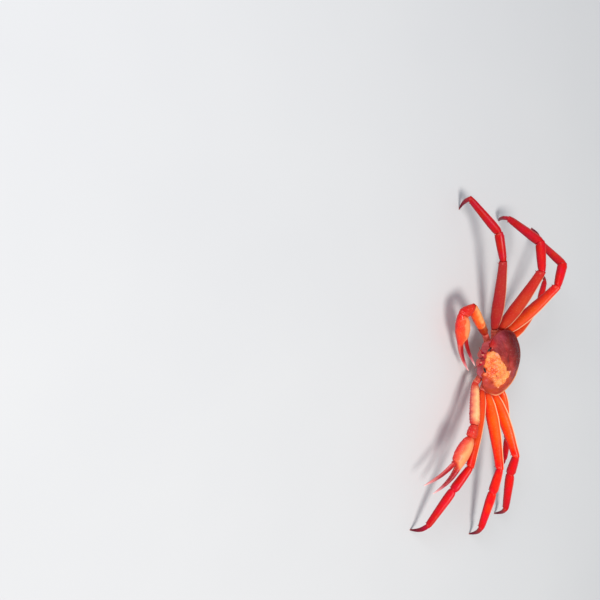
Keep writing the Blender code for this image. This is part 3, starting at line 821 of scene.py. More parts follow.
def root_segment(node, coxa, girth, after, seed):
    """Coxa, basis and ischium in one, parted by creases."""
    shell = Shell(coxa, COXA, girth, 60, 0.4, None, after, relief=waisted)
    shell.sprinkle(2.2, 0.75, 0.28, seed + 20)
    shell.lift_knobs([(0.2, turn, 1.6, 0.7) for turn in (60, 120)] + [(0.82, 90, 1.4, 0.5)])
    shell.add(node, "leg_root", layered(
        ROSE,
        ((214, 96, 74), 0.5 + 0.5 * uneven(shell.rings, 5, seed)),
        ((238, 150, 112), 0.6 * smooth(-np.sin(shell.a), 0.2, 0.9)),
        ((255, 196, 170), 0.45 * shell.top)))


# The claws are palest above and behind, where a painted light falls, and reddest on the far side, a painted
# shade: the direction, and stops from the far side of it to it, for the arm and the palm. On the right claw
# the pale side is parted from the red one more sharply.
LIT_SIDE = unit(np.array([0.0, 0.62, 0.79]))
CLAW_STOPS = {
    "L": ([(-1, (196, 44, 58)), (-0.72, (212, 70, 72)), (-0.4, (236, 118, 92)), (0.0, (242, 156, 110)),
           (0.5, (252, 198, 138)), (0.85, (252, 188, 118)), (1, (240, 150, 100))],
          [(-1, (206, 20, 28)), (-0.7, (232, 44, 40)), (-0.25, (242, 78, 60)), (0.1, (244, 104, 68)),
           (0.5, (250, 160, 104)), (1, (246, 146, 92))]),
    "R": ([(-1, (190, 16, 16)), (-0.4, (238, 56, 18)), (0.1, (250, 84, 16)), (0.6, (250, 102, 30)),
           (0.8, (252, 146, 74)), (1, (252, 178, 108))],
          [(-1, (206, 20, 26)), (-0.4, (240, 48, 32)), (0.3, (250, 64, 30)), (0.58, (244, 76, 36)),
           (0.7, (250, 134, 80)), (1, (250, 152, 94))]),
}


def claw_tints(shell, stops, warm):
    """Rose red in front and below as a painted shade, salmon to pale peach above and behind as a painted
    light, warmed towards red.
    """
    limb = shell.limb
    facing = (np.cos(shell.a)[..., None] * limb.wide + np.sin(shell.a)[..., None] * limb.thick) @ LIT_SIDE
    tints = ramp(facing + 0.12 * uneven(shell.rings, 6, 40), stops)
    return layered(tints, ((210, 28, 16), warm), (PALE, 0.14 * shell.top))


def cheliped(side_name):
    """A claw leg: its root, arm, wrist, palm with the fixed finger, and movable finger."""
    side = SIDES[side_name]
    x, y, z = CHELIPED_ROOT
    root = np.array([side * x, y, z], dtype=float)
    coxa = coxa_of(side, root, CHELIPED_COXA_HEADING)
    turns, bend, gape = CHELIPED_POSES[side_name]
    arm_stops, palm_stops = CLAW_STOPS[side_name]
    seed = 100 if side > 0 else 150
    arm, wrist, palm = chain(side, root, turns, CHELIPED_LENGTHS, CLAW_ROLL)
    fixed_length, finger_length = CHELIPED_LENGTHS[3:]
    whole = Limb(side, palm.start, *turns[2], palm.length + fixed_length, CLAW_ROLL)
    stem = f"cheliped_{side_name}_"
    root_segment(stem + "ischium", coxa, CHELIPED_COXA_GIRTH, arm.along, seed)

    shell = Shell(arm, ARM, 1.0, 84, 0.6, coxa.along, wrist.along)
    rows = [(turn, 4.2, 1.5, height)
            for turn, height in ((0, 0.95), (300, 0.7), (230, 0.5), (60, 0.8), (180, 0.45))]
    shell.lift_knobs(edge_rows(arm.length, seed, rows, 0.1, 0.93))
    shell.sprinkle(2.6, 0.7, 0.22, seed + 8)
    wrist_red = 0.75 if side > 0 else 0.3
    rose = 0.9 * (1 - smooth(shell.f, 0.04, 0.24)) + wrist_red * smooth(shell.f, 0.86, 0.98)
    tints = claw_tints(shell, arm_stops, rose)
    # A painted shadow darkens the right arm's base third.
    if side < 0:
        tints = mix(tints, (150, 24, 8), 0.85 * (1 - smooth(shell.f, 0.3, 0.36)))
    shell.add(stem + "merus", "claw", tints)

    shell = Shell(wrist, WRIST, 1.0, 84, 0.4, arm.along, whole.along)
    rows = [(turn, 3.6, 1.5, 0.85) for turn in (0, 300, 240, 60)]
    shell.lift_knobs(edge_rows(wrist.length, seed + 10, rows, 0.3, 0.85))
    shell.sprinkle(2.4, 0.7, 0.24, seed + 18)
    shell.add(stem + "carpus", "claw", claw_tints(shell, arm_stops, 0.96))

    share = palm.length / whole.length
    outline = [(f * share, *rest) for f, *rest in PALM]
    outline += [(share + f * (1 - share), *rest) for f, *rest in FIXED_FINGER]
    shell = Shell(whole, outline, 1.0, 96, 0.5, wrist.along, None, bend=bend, bend_from=share)
    rows = [(turn, 3.4, 1.25, height)
            for turn, height in ((0, 0.7), (320, 0.6), (285, 0.5), (245, 0.45), (205, 0.5), (40, 0.5))]
    shell.lift_knobs(edge_rows(palm.length, seed + 20, rows, 0.06, 0.4)
                     + cutting_teeth(0.5, 0.93, 0, seed + 30))
    shell.sprinkle(2.5, 0.65, 0.18, seed + 31, end=0.5)
    tints = claw_tints(shell, palm_stops, 0.6 * (1 - smooth(shell.f, 0.0, 0.1)))
    tints = mix(tints, finger_tints(shell, (shell.f - share) / (1 - share), -np.cos(shell.a)),
                smooth(shell.f + 0.03 * np.cos(shell.a), share - 0.03, share + 0.05))
    hinge = palm.end + palm.along * FINGER_HINGE[0] + palm.wide * FINGER_HINGE[1]
    finger = palm.opened(hinge, gape, finger_length)
    lip = band(hinge - finger.along * 0.9, finger.along, finger.wide, 3.6, 3.9, 1.2, (196, 40, 42))
    shell.extras.append(lip)
    shell.add(stem + "palm", "claw", tints)

    shell = Shell(finger, FINGER, 1.0, 64, 0.5, bow=-FINGER_BOW, bend=(0.0, bend[1]), relief=fluted)
    shell.lift_knobs(cutting_teeth(0.14, 0.9, 180, seed + 40)
                     + edge_rows(finger.length, seed + 41, [(0, 2.6, 0.9, 0.35)], high=0.35))
    shell.add(stem + "finger", "claw_finger", finger_tints(shell, shell.f, np.cos(shell.a)))


def cutting_teeth(low, high, turn, seed):
    """Blunt teeth along a finger's inner edge, smaller towards the tip."""
    draw = np.random.default_rng(seed)
    spots = []
    for i, f in enumerate(np.linspace(low, high, 17)):
        size = (1.15 if i % 4 == 1 else 0.8) * (1 - 0.5 * (f - low) / (high - low))
        spots.append((f, turn + draw.uniform(-3, 3), 1.25 * size, 0.95 * size))
    return spots


def finger_tints(shell, f, outer):
    """Dark crimson, paler along the outer edge as a painted highlight, with a pinkish white tip."""
    return layered(
        ramp(f, [(0, (206, 44, 40)), (0.14, (176, 16, 24)), (0.42, (150, 14, 28)), (0.62, (164, 38, 52)),
                 (0.84, (220, 138, 144)), (1, (248, 212, 208))]),
        # A painted highlight along the outer edge.
        ((236, 110, 104), 0.7 * smooth(outer, 0.6, 1.0)),
        ((250, 196, 184), 0.4 * shell.top))


def reach(angle):
    """Distance from the outline's centre to the smooth edge of the carapace, angle from straight ahead."""
    angles = [math.degrees(math.atan2(x, OUTLINE_CENTRE_Y - y)) for x, y in OUTLINE]
    distances = [math.hypot(x, y - OUTLINE_CENTRE_Y) for x, y in OUTLINE]
    turns = [180 - np.abs(180 - np.abs(angle + step)) for step in np.linspace(-7, 7, 15)]
    return averaged(turns, angles, distances)


def teeth(angle):
    """How far the front edge's horns and teeth stand out of the smooth edge."""
    angle = np.abs(angle)
    out = ORBIT[1] * hill(angle, ORBIT[0], ORBIT[2])
    for middle, height, half in (HORN, POSTORBITAL_TOOTH):
        out = out + height * np.maximum(0.0, 1 - np.abs(angle - middle) / half)
    return out


def route_distance(here, route):
    """Distance from points to a route of straight runs."""
    nearest = np.full(here.shape[:-1], 1e9)
    for a, b in zip(np.array(route[:-1], dtype=float), np.array(route[1:], dtype=float)):
        share = np.clip((here - a) @ (b - a) / ((b - a) @ (b - a)), 0, 1)
        nearest = np.minimum(nearest, np.linalg.norm(here - a - share[..., None] * (b - a), axis=-1))
    return nearest


def groove_distance(x, y, route):
    """Distance from points to a groove's route, in their own half of the back."""
    return route_distance(np.stack([np.abs(x), y], axis=-1), route)


def patch_depth(x, y):
    """How far inside the peach patch of painted sunlight points lie, and below zero outside it."""
    closed = SUNLIT_PATCH + SUNLIT_PATCH[:1]
    within = np.zeros(x.shape, dtype=bool)
    for (ax, ay), (bx, by) in zip(closed, closed[1:]):
        if ay != by:
            within ^= ((ay > y) != (by > y)) & (x < (bx - ax) * (y - ay) / (by - ay) + ax)
    distance = route_distance(np.stack([x, y], axis=-1), closed)
    return np.where(within, distance, -distance)


def rim_height(x, y):
    return RIM_Z + FRONT_RISE * np.clip((-y - FRONT_START) / FRONT_LENGTH, 0, 1) - LEFT_DROP * x


def back_height(x, y):
    """Height of the carapace's upper surface."""
    angle = np.degrees(np.arctan2(np.abs(x), OUTLINE_CENTRE_Y - y))
    fraction = np.clip(np.hypot(x, y - OUTLINE_CENTRE_Y) / (reach(angle) * MARGIN_SHARE), 0, 1)
    relief = np.zeros(x.shape)
    for middle_x, middle_y, height, across, along in SWELLINGS:
        relief += height * mound(np.abs(x), y, middle_x, middle_y, across, along)
    for route, depth in GROOVES:
        relief -= depth * hill(groove_distance(x, y, route), 0, GROOVE_WIDTH)
    dome = (1 - fraction ** DOME_POWERS[0]) ** DOME_POWERS[1]
    return rim_height(x, y) + (CROWN_Z - rim_height(x, y)) * dome + relief * (1 - fraction ** 6)


def place_at(angle, distance):
    """The place at an angle from straight ahead and a distance from the outline's centre."""
    turn = np.radians(angle)
    return distance * np.sin(turn), OUTLINE_CENTRE_Y - distance * np.cos(turn)


# Large tubercles of the back: x, y, radius, height. Those off the midline are paired.
TUBERCLES = [(0, -30, 2.0, 1.5), (0, -21, 2.2, 1.7), (0, -12, 2.0, 1.3), (8, -26, 2.0, 1.6),
             (11.5, -35, 2.0, 1.7), (15, -20, 1.9, 1.4), (9, -12, 1.8, 1.1), (24, -27, 2.0, 1.6),
             (29, -21, 1.8, 1.3), (20, -34, 1.8, 1.4), (24, 0, 2.0, 1.5), (33, -4, 2.1, 1.6),
             (41, -3, 2.0, 1.6), (20, 10, 1.9, 1.3), (30, 8, 2.1, 1.5), (41, 8, 2.1, 1.6), (48, 6, 1.9, 1.5),
             (25, 19, 1.9, 1.3), (35, 19, 2.0, 1.4), (45, 18, 1.9, 1.3), (21, 29, 1.8, 1.2),
             (32, 30, 1.9, 1.3), (41, 28, 1.7, 1.1), (5, 12, 1.8, 1.2), (4, 20, 1.8, 1.1), (6, 31, 1.7, 1.0),
             (16, 38, 1.6, 0.9), (28, 38, 1.6, 1.0)]
# Grains scattered between them: spacing, radius, height, tries and seed.
GRAINS = [(3.9, 1.25, 0.62, 4000, 22), (1.9, 0.72, 0.24, 24000, 23)]
# Beads along the rim: the first one's angle from straight ahead, the step, radius and height.
BEADS = (46, 2.55, 1.2, 0.22)
# The peach patch over the front of the back, a pool of painted sunlight, further to the left than to the
# right: x, y.
SUNLIT_PATCH = [(-2, -47), (-8, -47), (-12, -44), (-16, -37.5), (-15.5, -31), (-12, -25), (-4, -22), (0, -17),
         (3, -12), (7, -6), (10, -0.5), (12, 8), (19.5, 4.5), (29, 1.5), (37, -1), (42, -3), (40, -9),
         (38, -13), (34, -20), (28.5, -29), (27.5, -35), (27, -41), (24, -45), (18, -47), (8, -47)]
# Painted shade in mauve over the brown and brick of the back, themselves painted shade: x, y, half width,
# half length, strength.
SHADE_SPOTS = [(-40, -20, 15, 14, 0.8), (13, 20, 10, 13, 0.75), (42, -22, 8, 12, 0.35), (-8, -36, 6, 8, 0.3)]
# Small marks on the back: x, y, radius, colour. The three pale ones are painted highlights on tubercles.
MARKS = [(-11.6, -29, 2.6, (252, 150, 128)), (12, 7, 2.2, (255, 186, 160)),
         (-20.3, -37.8, 1.3, (250, 150, 140)), (22.6, -21, 1.6, (150, 62, 14)),
         (25, -14.5, 2.8, (236, 104, 62))]
# Rings of the back, the rim, the face, the wall behind the face, and the underside.
BACK_ROWS = 150
RIM_ROWS = 9
FACE_ROWS = 44
WALL_ROWS = 11
UNDERSIDE_ROWS = 4
# The rim is rounded outwards by this much, and the mouldings of the edge start at this share of the way.
RIM_ROUND = 0.8
EDGE_START = 0.93


def ring(angles, distance, height):
    """Points round the outline's centre at a distance and height."""
    x, y = place_at(angles, distance)
    return np.stack([x, y, height + 0 * x], axis=-1)


def back_rings(angles, smooth_edge, edge):
    """The rings of the upper surface, from the middle out, and each point's distance from the edge."""
    places = []
    for share in 1 - (1 - np.linspace(0.004, 1, BACK_ROWS)) ** 1.25:
        t = max(0.0, (share - EDGE_START) / (1 - EDGE_START))
        inner = EDGE_START * min(share, EDGE_START) * np.minimum(smooth_edge, edge)
        places.append(inner * (1 - t) + (edge - RIM_ROUND) * t)
    places = np.array(places)
    rows = np.array([ring(angles, place, back_height(*place_at(angles, place))) for place in places])
    from_edge = edge - places
    lip = hill(from_edge, 0, 1.5) - 0.7 * hill(from_edge, 4.2, 2.0)
    rows[..., 2] += lip * smooth(np.abs(angles), 44, 60)
    horn = smooth(-(np.abs(angles) - HORN[0]) ** 2, -HORN[2] ** 2, 0)
    rows[..., 2] += 1.4 * horn * smooth(places, smooth_edge - 4, smooth_edge + 10)
    return rows, from_edge


def under_rings(angles, smooth_edge, edge):
    """The rings from the rim down the face to the chin, up behind it, and in along the underside."""
    brow_reach = np.minimum(edge * 0.97, smooth_edge * BROW_REACH)
    brow_z = rim_height(*place_at(angles, edge)) - RIM_THICKNESS - BROW_STEP
    chin_angles, chin_reaches, chin_heights = zip(*CHIN)
    turns = [np.abs(np.abs(angles) + step) for step in np.linspace(-2.5, 2.5, 9)]
    chin_reach = smooth_edge * averaged(turns, chin_angles, chin_reaches)
    chin_z = averaged(turns, chin_angles, chin_heights)
    wall_reach, mouth = chin_reach - FACE_THICKNESS, smooth_edge * MOUTH_REACH
    rows = []
    for t in np.linspace(0, 1, FACE_ROWS):
        bulge = 1.2 * np.sin(math.pi * t) * (chin_z < UNDERSIDE_Z - 2)
        distance = brow_reach * (1 - t) + chin_reach * t + bulge
        rows.append(ring(angles, distance, brow_z * (1 - t) + chin_z * t))
    for t in np.linspace(0, 1, WALL_ROWS + 1)[1:]:
        distance = chin_reach * (1 - t) + wall_reach * t
        rows.append(ring(angles, distance, chin_z * (1 - t) + UNDERSIDE_Z * t))
    for t in np.linspace(0, 1, UNDERSIDE_ROWS + 1)[1:]:
        rows.append(ring(angles, wall_reach * (1 - t) + mouth * t, UNDERSIDE_Z))
    return rows + [ring(angles, mouth * t, UNDERSIDE_Z) for t in (0.6, 0.3, 0.04)]


def carapace_knobs(inside, rim, angles):
    """Middle, radius and height of every tubercle and grain of the back and bead of the rim."""
    found = []
    for x, y, radius, height in TUBERCLES:
        z = back_height(np.array([x]), np.array([y]))[0]
        for sign in ((1,) if x == 0 else (1, -1)):
            share = 0.8 if patch_depth(np.array(sign * x), np.array(y)) > -3 else 0.4
            found.append(((sign * x, y, z), radius, height * share))
    draw = np.random.default_rng(21)
    for spacing, radius, height, tries, seed in GRAINS:
        for i in scatter(inside, spacing, tries, seed):
            size = draw.uniform(0.65, 1.15)
            found.append((inside[i], radius * size, height * size))
    first_bead, bead_step, *bead_size = BEADS
    for angle in np.arange(first_bead, 181, bead_step):
        for sign in ((1,) if angle > 179 else (1, -1)):
            found.append((rim[np.argmin(np.abs(angles - sign * angle))], *bead_size))
    return found


def carapace():
    """The back shield: domed and grained above, a beaded rim, and the face and underside below."""
    half = np.concatenate([np.linspace(0, 40, 171)[:-1], np.linspace(40, 180, 281)])
    angles = np.concatenate([half, -half[-2:0:-1]])
    smooth_edge = reach(angles)
    edge = smooth_edge + teeth(angles)
    rows, from_edge = back_rings(angles, smooth_edge, edge)
    rim = [ring(angles, edge - RIM_ROUND + RIM_ROUND * math.sin(turn),
                rows[-1][:, 2] - RIM_THICKNESS / 2 * (1 - math.cos(turn)))
           for turn in np.linspace(0, math.pi, RIM_ROWS + 2)[1:-1]]
    rings = np.array([*rows, *rim, *under_rings(angles, smooth_edge, edge)])

    back = len(rows)
    flat, distance = rows.reshape(-1, 3), from_edge.reshape(-1)
    found = carapace_knobs(flat[distance > 2.0], rings[back], angles)
    lift, tops = knobs(rings.reshape(-1, 3), *zip(*found))
    waves = 0.35 * uneven(flat, 5.5, 3) + 0.22 * uneven(flat, 3.0, 4)
    lift[:len(flat)] += waves * smooth(distance, 0.5, 5)
    face = rings[back + RIM_ROWS:].reshape(-1, 3)
    on_face = (face[:, 2] < 46.5) * (face[:, 2] > UNDERSIDE_Z - 12.5)
    lift[-len(face):] += 0.3 * uneven(face, 2.6, 5) * on_face
    shape = rings.shape[:2]
    tints = carapace_tints(rings, tops.reshape(shape), back, from_edge, angles)
    add_piece("carapace", "shell", tube(rings + normals_of(rings) * lift.reshape(shape)[..., None], tints))


def carapace_tints(rings, tops, back, from_edge, angles):
    """Painted sunlight in peach over the front of the back, painted shade in mauve and rose round it, and a
    painted highlight on the rim behind on the left.
    """
    x, y, z = rings[..., 0], rings[..., 1], rings[..., 2]
    blot, fine = uneven(rings, 9, 31), uneven(rings, 3.5, 32)
    # Outside the patch the back is painted shade: brown red to brick, mauve spots, and dark crimson behind
    # on the right, away from the light.
    tints = mix(BROWN_RED, BRICK, smooth(x - 0.35 * y, -14, 26) + 0.3 * blot)
    for *place, share in SHADE_SPOTS:
        tints = mix(tints, SHADE_MAUVE, share * mound(x, y, *place) + 0.06 * blot)
    tints = mix(tints, SHADE_CRIMSON, 0.88 * smooth(-0.75 * x + y, 8, 38))
    # The peach patch is painted sunlight, with orange in it and a burnt orange streak along its front-left
    # edge.
    depth = patch_depth(x, y)
    patch = smooth(depth + 0.8 * fine + 0.5 * blot, -1.5, 1.5)
    deeper = mound(x, y, 16, -37, 19, 18)
    burnt_streak = smooth(x + 0.3 * y, 6, 18) * (1 - smooth(depth, 1, 6)) * smooth(-y, 6, 16)
    peach = layered(
        PEACH,
        (ORANGE, 0.12 + 0.2 * fine + 0.3 * blot + 0.95 * deeper),
        (BURNT_ORANGE, 0.75 * np.maximum(burnt_streak, deeper * smooth(fine + blot, -0.4, 0.8))))
    tints = mix(tints, peach, patch)
    for route, _ in GROOVES:
        groove = hill(groove_distance(x, y, route), 0, 2.6)
        tints = mix(tints, (170, 54, 30), 0.25 * groove * (z > 50))
    # The pale marks are painted highlights on tubercles.
    for mark_x, mark_y, radius, colour in MARKS:
        mark = np.exp(-(np.hypot(x - mark_x, y - mark_y) / radius) ** 4)
        tints = mix(tints, colour, 0.8 * mark * (z > 47))
    eye_distance = np.sqrt((np.abs(x) - 18.5) ** 2 + (y + 44) ** 2 + (z - 51) ** 2)
    # A pale line along the rim behind, nearly all on the left: a painted highlight.
    bead = np.zeros(x.shape)
    bead[:back] = np.exp(-(from_edge / 2.2) ** 4)
    bead[back:back + RIM_ROWS] = 1
    bead = bead * smooth(np.abs(angles), 70, 95) * (0.04 + 0.96 * smooth(x, -12, 14))
    below = np.zeros(x.shape)
    below[back + RIM_ROWS:] = 1
    return layered(
        tints,
        ((184, 20, 26), 0.8 * np.exp(-(eye_distance / 6.0) ** 4)),
        ((176, 30, 14), 0.85 * np.exp(-(((x + 27) / 8) ** 2 + ((y + 39) / 7) ** 2) ** 1.5)),
        ((190, 40, 54), 0.8 * smooth(-y, 46.5, 49.5)),
        # Pale horn tips: a painted highlight.
        ((244, 160, 130), 0.7 * smooth(-y, 54.5, 58) * (z > 49)),
        # The pale rim line: a painted highlight.
        ((255, 176, 122), 0.95 * bead),
        (mix((204, 96, 108), (208, 86, 78), 0.5 + 0.4 * blot), below),
        ((236, 150, 116), 0.6 * below * (z < 43.5) * (np.abs(angles) > 42)),
        # Pale knob tops, faint everywhere and strong in the patch, where they are painted glints.
        (PALE, (0.03 + 0.36 * patch) * tops * (1 - below)))


def sternum():
    """The thorax below the shield, with furrows between its plates and a lip round each limb's seat."""
    half = [(0, -29.5), (10, -28.5), (14, -26), (19, -24)]
    lips = []
    for (x, y, z), heading in [(CHELIPED_ROOT, CHELIPED_COXA_HEADING), *LEG_ROOTS.values()]:
        turn = math.radians(heading)
        out = np.array([math.cos(turn), -math.sin(turn)])
        tangent = np.array([math.sin(turn), math.cos(turn)])
        seat = np.array([x, y]) - out * (COXA_LENGTH + 0.3)
        half += [tuple(seat - tangent * 5.0), tuple(seat + tangent * 5.0)]
        for sign in (1, -1):
            centre, axis = (sign * seat[0], seat[1], z), (sign * out[0], out[1], 0)
            lips.append(band(centre, axis, (0, 0, 1), 5.9, 6.4, 0.9, MEMBRANE))
    half += [(20, 29), (9, 32.5), (0, 33)]
    closed = np.array(half + [(-x, y) for x, y in reversed(half[1:-1])] + half[:1], dtype=float)
    run = distance_run(closed)
    places = np.linspace(0, run[-1], 420, endpoint=False)
    outline = np.stack([np.interp(places, run, closed[:, i]) for i in (0, 1)], axis=-1)
    levels = [(THORAX_BOTTOM, share) for share in np.linspace(0.02, 0.84, 70)]
    levels += [(THORAX_BOTTOM + 6 * t ** 1.8, 0.84 + 0.16 * math.sin(math.pi / 2 * t))
               for t in np.linspace(0, 1, 20)[1:]]
    levels += [(z, 1.0) for z in np.linspace(THORAX_BOTTOM + 6, THORAX_TOP, 30)[1:]]
    levels += [(THORAX_TOP, 0.5), (THORAX_TOP, 0.03)]
    rings = np.array([np.column_stack([outline * share, np.full(len(outline), z)]) for z, share in levels])
    x, y, z = np.abs(rings[..., 0]), rings[..., 1], rings[..., 2]
    below = smooth(-z, -THORAX_BOTTOM - 5, -THORAX_BOTTOM)
    furrow = hill(x, 10.5, 1.0) * smooth(y, -22, -16)
    for inner_y, outer_y in ((-17, -22), (-8, -11), (2, 3), (12, 17), (21, 29)):
        line = inner_y + (outer_y - inner_y) * x / 34
        furrow = np.maximum(furrow, hill(y, line, 0.7) * smooth(x, 8, 12))
    rings[..., 2] += 1.3 * furrow * below
    tints = layered(
        (244, 176, 138),
        ((232, 128, 96), 0.5 + 0.5 * uneven(rings, 8, 41)),
        ((196, 84, 64), 0.7 * furrow * below),
        (ROSE, smooth(z, 27, 34)))
    add_piece("sternum", "underside", join([tube(rings, tints)] + lips))


def abdomen():
    """The narrow tail, folded from the back edge down and forward under the thorax, in seven plates."""
    route = [(41.5, 41.0, 15), (42.5, 35.0, 17), (41.0, 29.0, 17.5), (36.5, 23.5, 17), (29.0, 20.6, 15.5),
             (18.0, 19.6, 12.5), (6.0, 19.4, 9.5), (-6.0, 19.6, 6.5), (-15.0, 20.0, 3.2)]
    rows, sides, plates = 220, 72, 7
    place = np.linspace(0, len(route) - 1, rows)
    places = [place + step for step in np.linspace(-0.35, 0.35, 9)]
    y, z, half_width = (averaged(places, range(len(route)), values) for values in zip(*route))
    run = unit(np.stack([np.gradient(y), np.gradient(z)], axis=-1))
    share = place / place[-1]
    step = share * plates % 1
    ridge = 1.15 - 0.45 * smooth(step, 0.0, 0.12) * (1 - smooth(step, 0.5, 1.0))
    ridge = ridge - 0.3 * hill(step, 0.04, 0.04)
    closing = rounding(1 - share, 0.05, 0.03)
    turn = circle(sides)[None, :]
    cos, sin = np.cos(turn), np.sin(turn)
    width = (half_width * (0.965 + 0.035 * np.sin(math.pi * step)) * closing)[:, None]
    across = width * np.sign(cos) * np.abs(cos) ** 0.7
    middle = 0.35 * hill(across, 0, 3.5) * (sin > 0)
    lift = (1.5 * ridge * closing)[:, None] * np.sign(sin) * np.abs(sin) ** 0.8 + middle
    rings = np.stack([across, y[:, None] + run[:, 1:] * lift, z[:, None] - run[:, :1] * lift], axis=-1)
    tints = layered(
        (240, 158, 120),
        ((226, 112, 82), 0.5 + 0.5 * uneven(rings, 7, 43)),
        ((186, 70, 56), 0.6 * hill(step, 0.03, 0.05)[:, None]))
    add_piece("abdomen", "underside", tube(rings, tints))


def mouth_place(side, across, share, out):
    """A point on the slanted face: across from the midline, up from the chin, and out from the face."""
    _, chin_reach, chin_z = CHIN[0]
    edge = reach(np.array([6.0]))[0]
    chin = np.array([0, OUTLINE_CENTRE_Y - edge * chin_reach, chin_z])
    brow_z = RIM_Z + FRONT_RISE - RIM_THICKNESS - BROW_STEP
    brow = np.array([0, OUTLINE_CENTRE_Y - edge * BROW_REACH, brow_z])
    rise = unit(brow - chin)
    face = np.array([0, -rise[2], rise[1]])
    return chin + (brow - chin) * share + face * out + np.array([side * across, 0, 0]), face


def mouthparts(side_name):
    """The outer mouth plates of one side: two broad plates, the palp, and the slim outer branch."""
    side = SIDES[side_name]
    _, face = mouth_place(side, 0, 0, 0)

    def bar(places, wide, thick, rows=40):
        route = [mouth_place(side, *place)[0] for place in places]
        return rod(route, wide, thick, face, (206, 92, 88), (212, 98, 92), 32, rows, (1.2, 1.2))

    add_piece("maxilliped_" + side_name, "mouth", join([
        bar([(6.4, -0.08, 2.0), (6.6, 0.2, 2.2), (6.5, 0.47, 2.1)], [3.9, 5.2, 5.6, 5.5],
            [1.2, 1.7, 1.6], 60),
        bar([(6.2, 0.49, 2.0), (6.0, 0.62, 2.1), (5.6, 0.76, 1.8)], [4.9, 4.6, 3.2], [1.4, 1.5, 1.0]),
        bar([(5.2, 0.72, 2.9), (3.0, 0.66, 3.4), (1.9, 0.52, 3.5)], [1.5, 1.6, 1.3], [1.0, 1.1, 0.9]),
        bar([(1.9, 0.52, 3.5), (1.7, 0.36, 3.5), (2.0, 0.22, 3.3)], [1.3, 1.1, 0.5], [0.9, 0.8, 0.4]),
        bar([(12.2, 0.04, 1.6), (12.0, 0.3, 1.9), (10.9, 0.58, 1.9)], [1.4, 1.5, 0.8], [1.1, 1.2, 0.7])]))


def eyes(side_name):
    """A short stalk and a long, narrow, wet cornea, lying back in the orbit."""
    side = SIDES[side_name]
    x, y, z = EYE_FOOT
    limb = Limb(side, (side * x, y, z - LEFT_DROP * side * EYE_DROP_X), *EYE_STALK)

    def bar(places, wide, thick, colour, tip_colour, sides, rows, round_ends):
        route = [limb.start + limb.along * (limb.length * share) + np.array([0, back, lift])
                 for share, lift, back in places]
        return rod(route, wide, thick, (0, 0, 1), colour, tip_colour, sides, rows, round_ends)

    stalk = bar([(0, -0.4, 0), (0.35, -0.9, 0.6), (0.7, -0.6, 2.0), (0.9, 0.0, 3.2)],
                [1.4, 2.2, 2.6, 1.6], [1.4, 2.0, 2.2, 1.5],
                (214, 110, 84), (186, 40, 40), 20, 40, (0.5, 1.6))
    ball = bar([(0.05, 0.5, -2.2), (0.35, 0.7, -0.7), (0.7, 0.9, 1.6), (1.0, 0.9, 4.2)],
               [0.9, 1.5, 1.7, 1.1], [1.0, 1.5, 1.7, 1.2], PALE, PALE, 40, 48, (1.4, 1.6))
    add_piece("eye_" + side_name, "shell", stalk, "stalk_" + side_name)
    add_piece("eye_" + side_name, "eye", ball, "cornea_" + side_name)


def feelers(side_name):
    """Antenna with its base, and the short folded antennule beside it."""
    side = SIDES[side_name]

    def bar(places, wide, thick, up, *look):
        return rod([(side * x, y, z) for x, y, z in places], wide, thick, up, *look)

    rose = (196, 40, 60)
    taper = [1.1, 0.9, 0.7, 0.5, 0.33]
    lash = bar([(9.6, -47.2, 44.2), (10.6, -50.5, 44.6), (12.4, -55.5, 45.6), (14.8, -61, 47.2),
                (17.6, -66.5, 49.4)], taper, taper, (0, 0, 1), CRIMSON, (170, 60, 50), 14, 160, (0.3, 0.4))
    base = bar([(8.9, -45.4, 40.5), (9.3, -47.4, 43.0), (9.8, -48.6, 45.2)], [1.6, 2.2, 1.5],
               [1.5, 2.0, 1.4], (1, 0, 0), rose, CRIMSON, 20, 30)
    short = bar([(3.4, -46.6, 46.6), (4.4, -49.6, 46.2), (3.6, -50.8, 44.4), (4.6, -49.4, 43.2)],
                [1.2, 1.2, 0.8, 0.4], [1.1, 1.1, 0.7, 0.4], (1, 0, 0), rose, (176, 60, 60), 20, 50)
    add_piece("antenna_" + side_name, "feeler", join([lash, base, short]))


def put(thing, right, up, back, place):
    """Puts a camera or light in the scene, with the directions of its axes and its place in metres."""
    matrix = np.eye(4)
    matrix[:3, :3] = np.stack([right, up, back], axis=1)
    matrix[:3, 3] = place
    thing.matrix_world = Matrix(matrix.tolist())
    bpy.context.scene.collection.objects.link(thing)


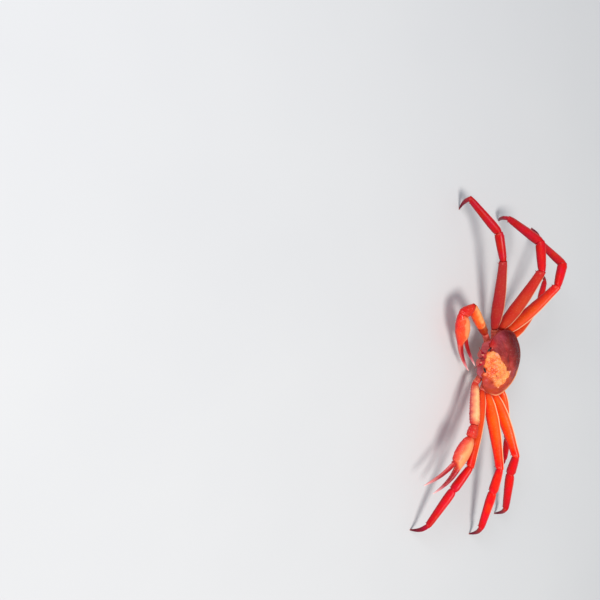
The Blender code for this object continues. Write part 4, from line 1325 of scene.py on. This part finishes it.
def make_camera():
    """The photograph's view: looking down from in front, rolled on its side."""
    tilt, roll = math.radians(CAMERA_ELEVATION), math.radians(CAMERA_ROLL)
    back = np.array([0, -math.cos(tilt), math.sin(tilt)])
    level = unit(np.cross(-back, [0, 0, 1.0]))
    downward = np.cross(-back, level)
    axes = np.stack([level * math.cos(roll) - downward * math.sin(roll),
                     level * math.sin(roll) + downward * math.cos(roll), -back])
    centre = IMAGE_SIZE / 2
    ray = unit(np.array([*((pixel - centre) / FOCAL_PIXELS for pixel in TARGET_PIXEL), 1.0]))
    turn = np.cross([0, 0, 1.0], ray)
    cosine, sine = ray[2], np.linalg.norm(turn)
    x, y, z = turn / sine
    skew = np.array([[0, -z, y], [z, 0, -x], [-y, x, 0]])
    axes = (np.eye(3) + sine * skew + (1 - cosine) * skew @ skew) @ axes
    camera = bpy.data.objects.new("camera", bpy.data.cameras.new("camera"))
    camera.data.sensor_width = SENSOR_MM
    camera.data.lens = SENSOR_MM * FOCAL_PIXELS / IMAGE_SIZE
    camera.data.clip_start = 0.01
    put(camera, axes[0], -axes[1], -axes[2], (CAMERA_TARGET + BODY_OFFSET + back * CAMERA_DISTANCE) * MM)
    bpy.context.scene.camera = camera


def area_light(name, place, size, power, colour):
    """A soft square light that faces the crab."""
    light = bpy.data.objects.new(name, bpy.data.lights.new(name, "AREA"))
    light.data.size = size
    light.data.energy = power
    light.data.color = colour
    direction = -np.array(place)
    side = unit(np.cross(direction, [0.0, 1.0, 0.1]))
    put(light, side, unit(np.cross(side, direction)), -unit(direction), place)


def studio():
    """A plain pale floor and plain soft light."""
    mesh = bpy.data.meshes.new("floor")
    corners = [(x * FLOOR_HALF, y * FLOOR_HALF, 0) for x, y in ((-1, -1), (1, -1), (1, 1), (-1, 1))]
    mesh.from_pydata(corners, [], [(0, 1, 2, 3)])
    floor = bpy.data.objects.new("floor", mesh)
    material, tree, place = new_material("floor")
    tone = blend(tree, noise(tree, place, 400.0), (0.60, 0.61, 0.63, 1), (0.65, 0.66, 0.67, 1))
    set_inputs(tree, tree.nodes["Principled BSDF"], {"Base Color": tone, "Roughness": 0.8})
    mesh.materials.append(material)
    bpy.context.scene.collection.objects.link(floor)
    for name, values in LIGHTS.items():
        area_light(name, *values)
    world = bpy.data.worlds.new("studio")
    world.use_nodes = True
    background = world.node_tree.nodes["Background"]
    set_inputs(world.node_tree, background, {"Color": (0.86, 0.92, 1.0, 1), "Strength": 0.40})
    bpy.context.scene.world = world
    bpy.context.scene.view_settings.view_transform = "Standard"


make_camera()
studio()
carapace()
sternum()
abdomen()
for side_name in SIDES:
    mouthparts(side_name)
    eyes(side_name)
    feelers(side_name)
    cheliped(side_name)
    for number in LEG_ROOTS:
        walking_leg(side_name, number)
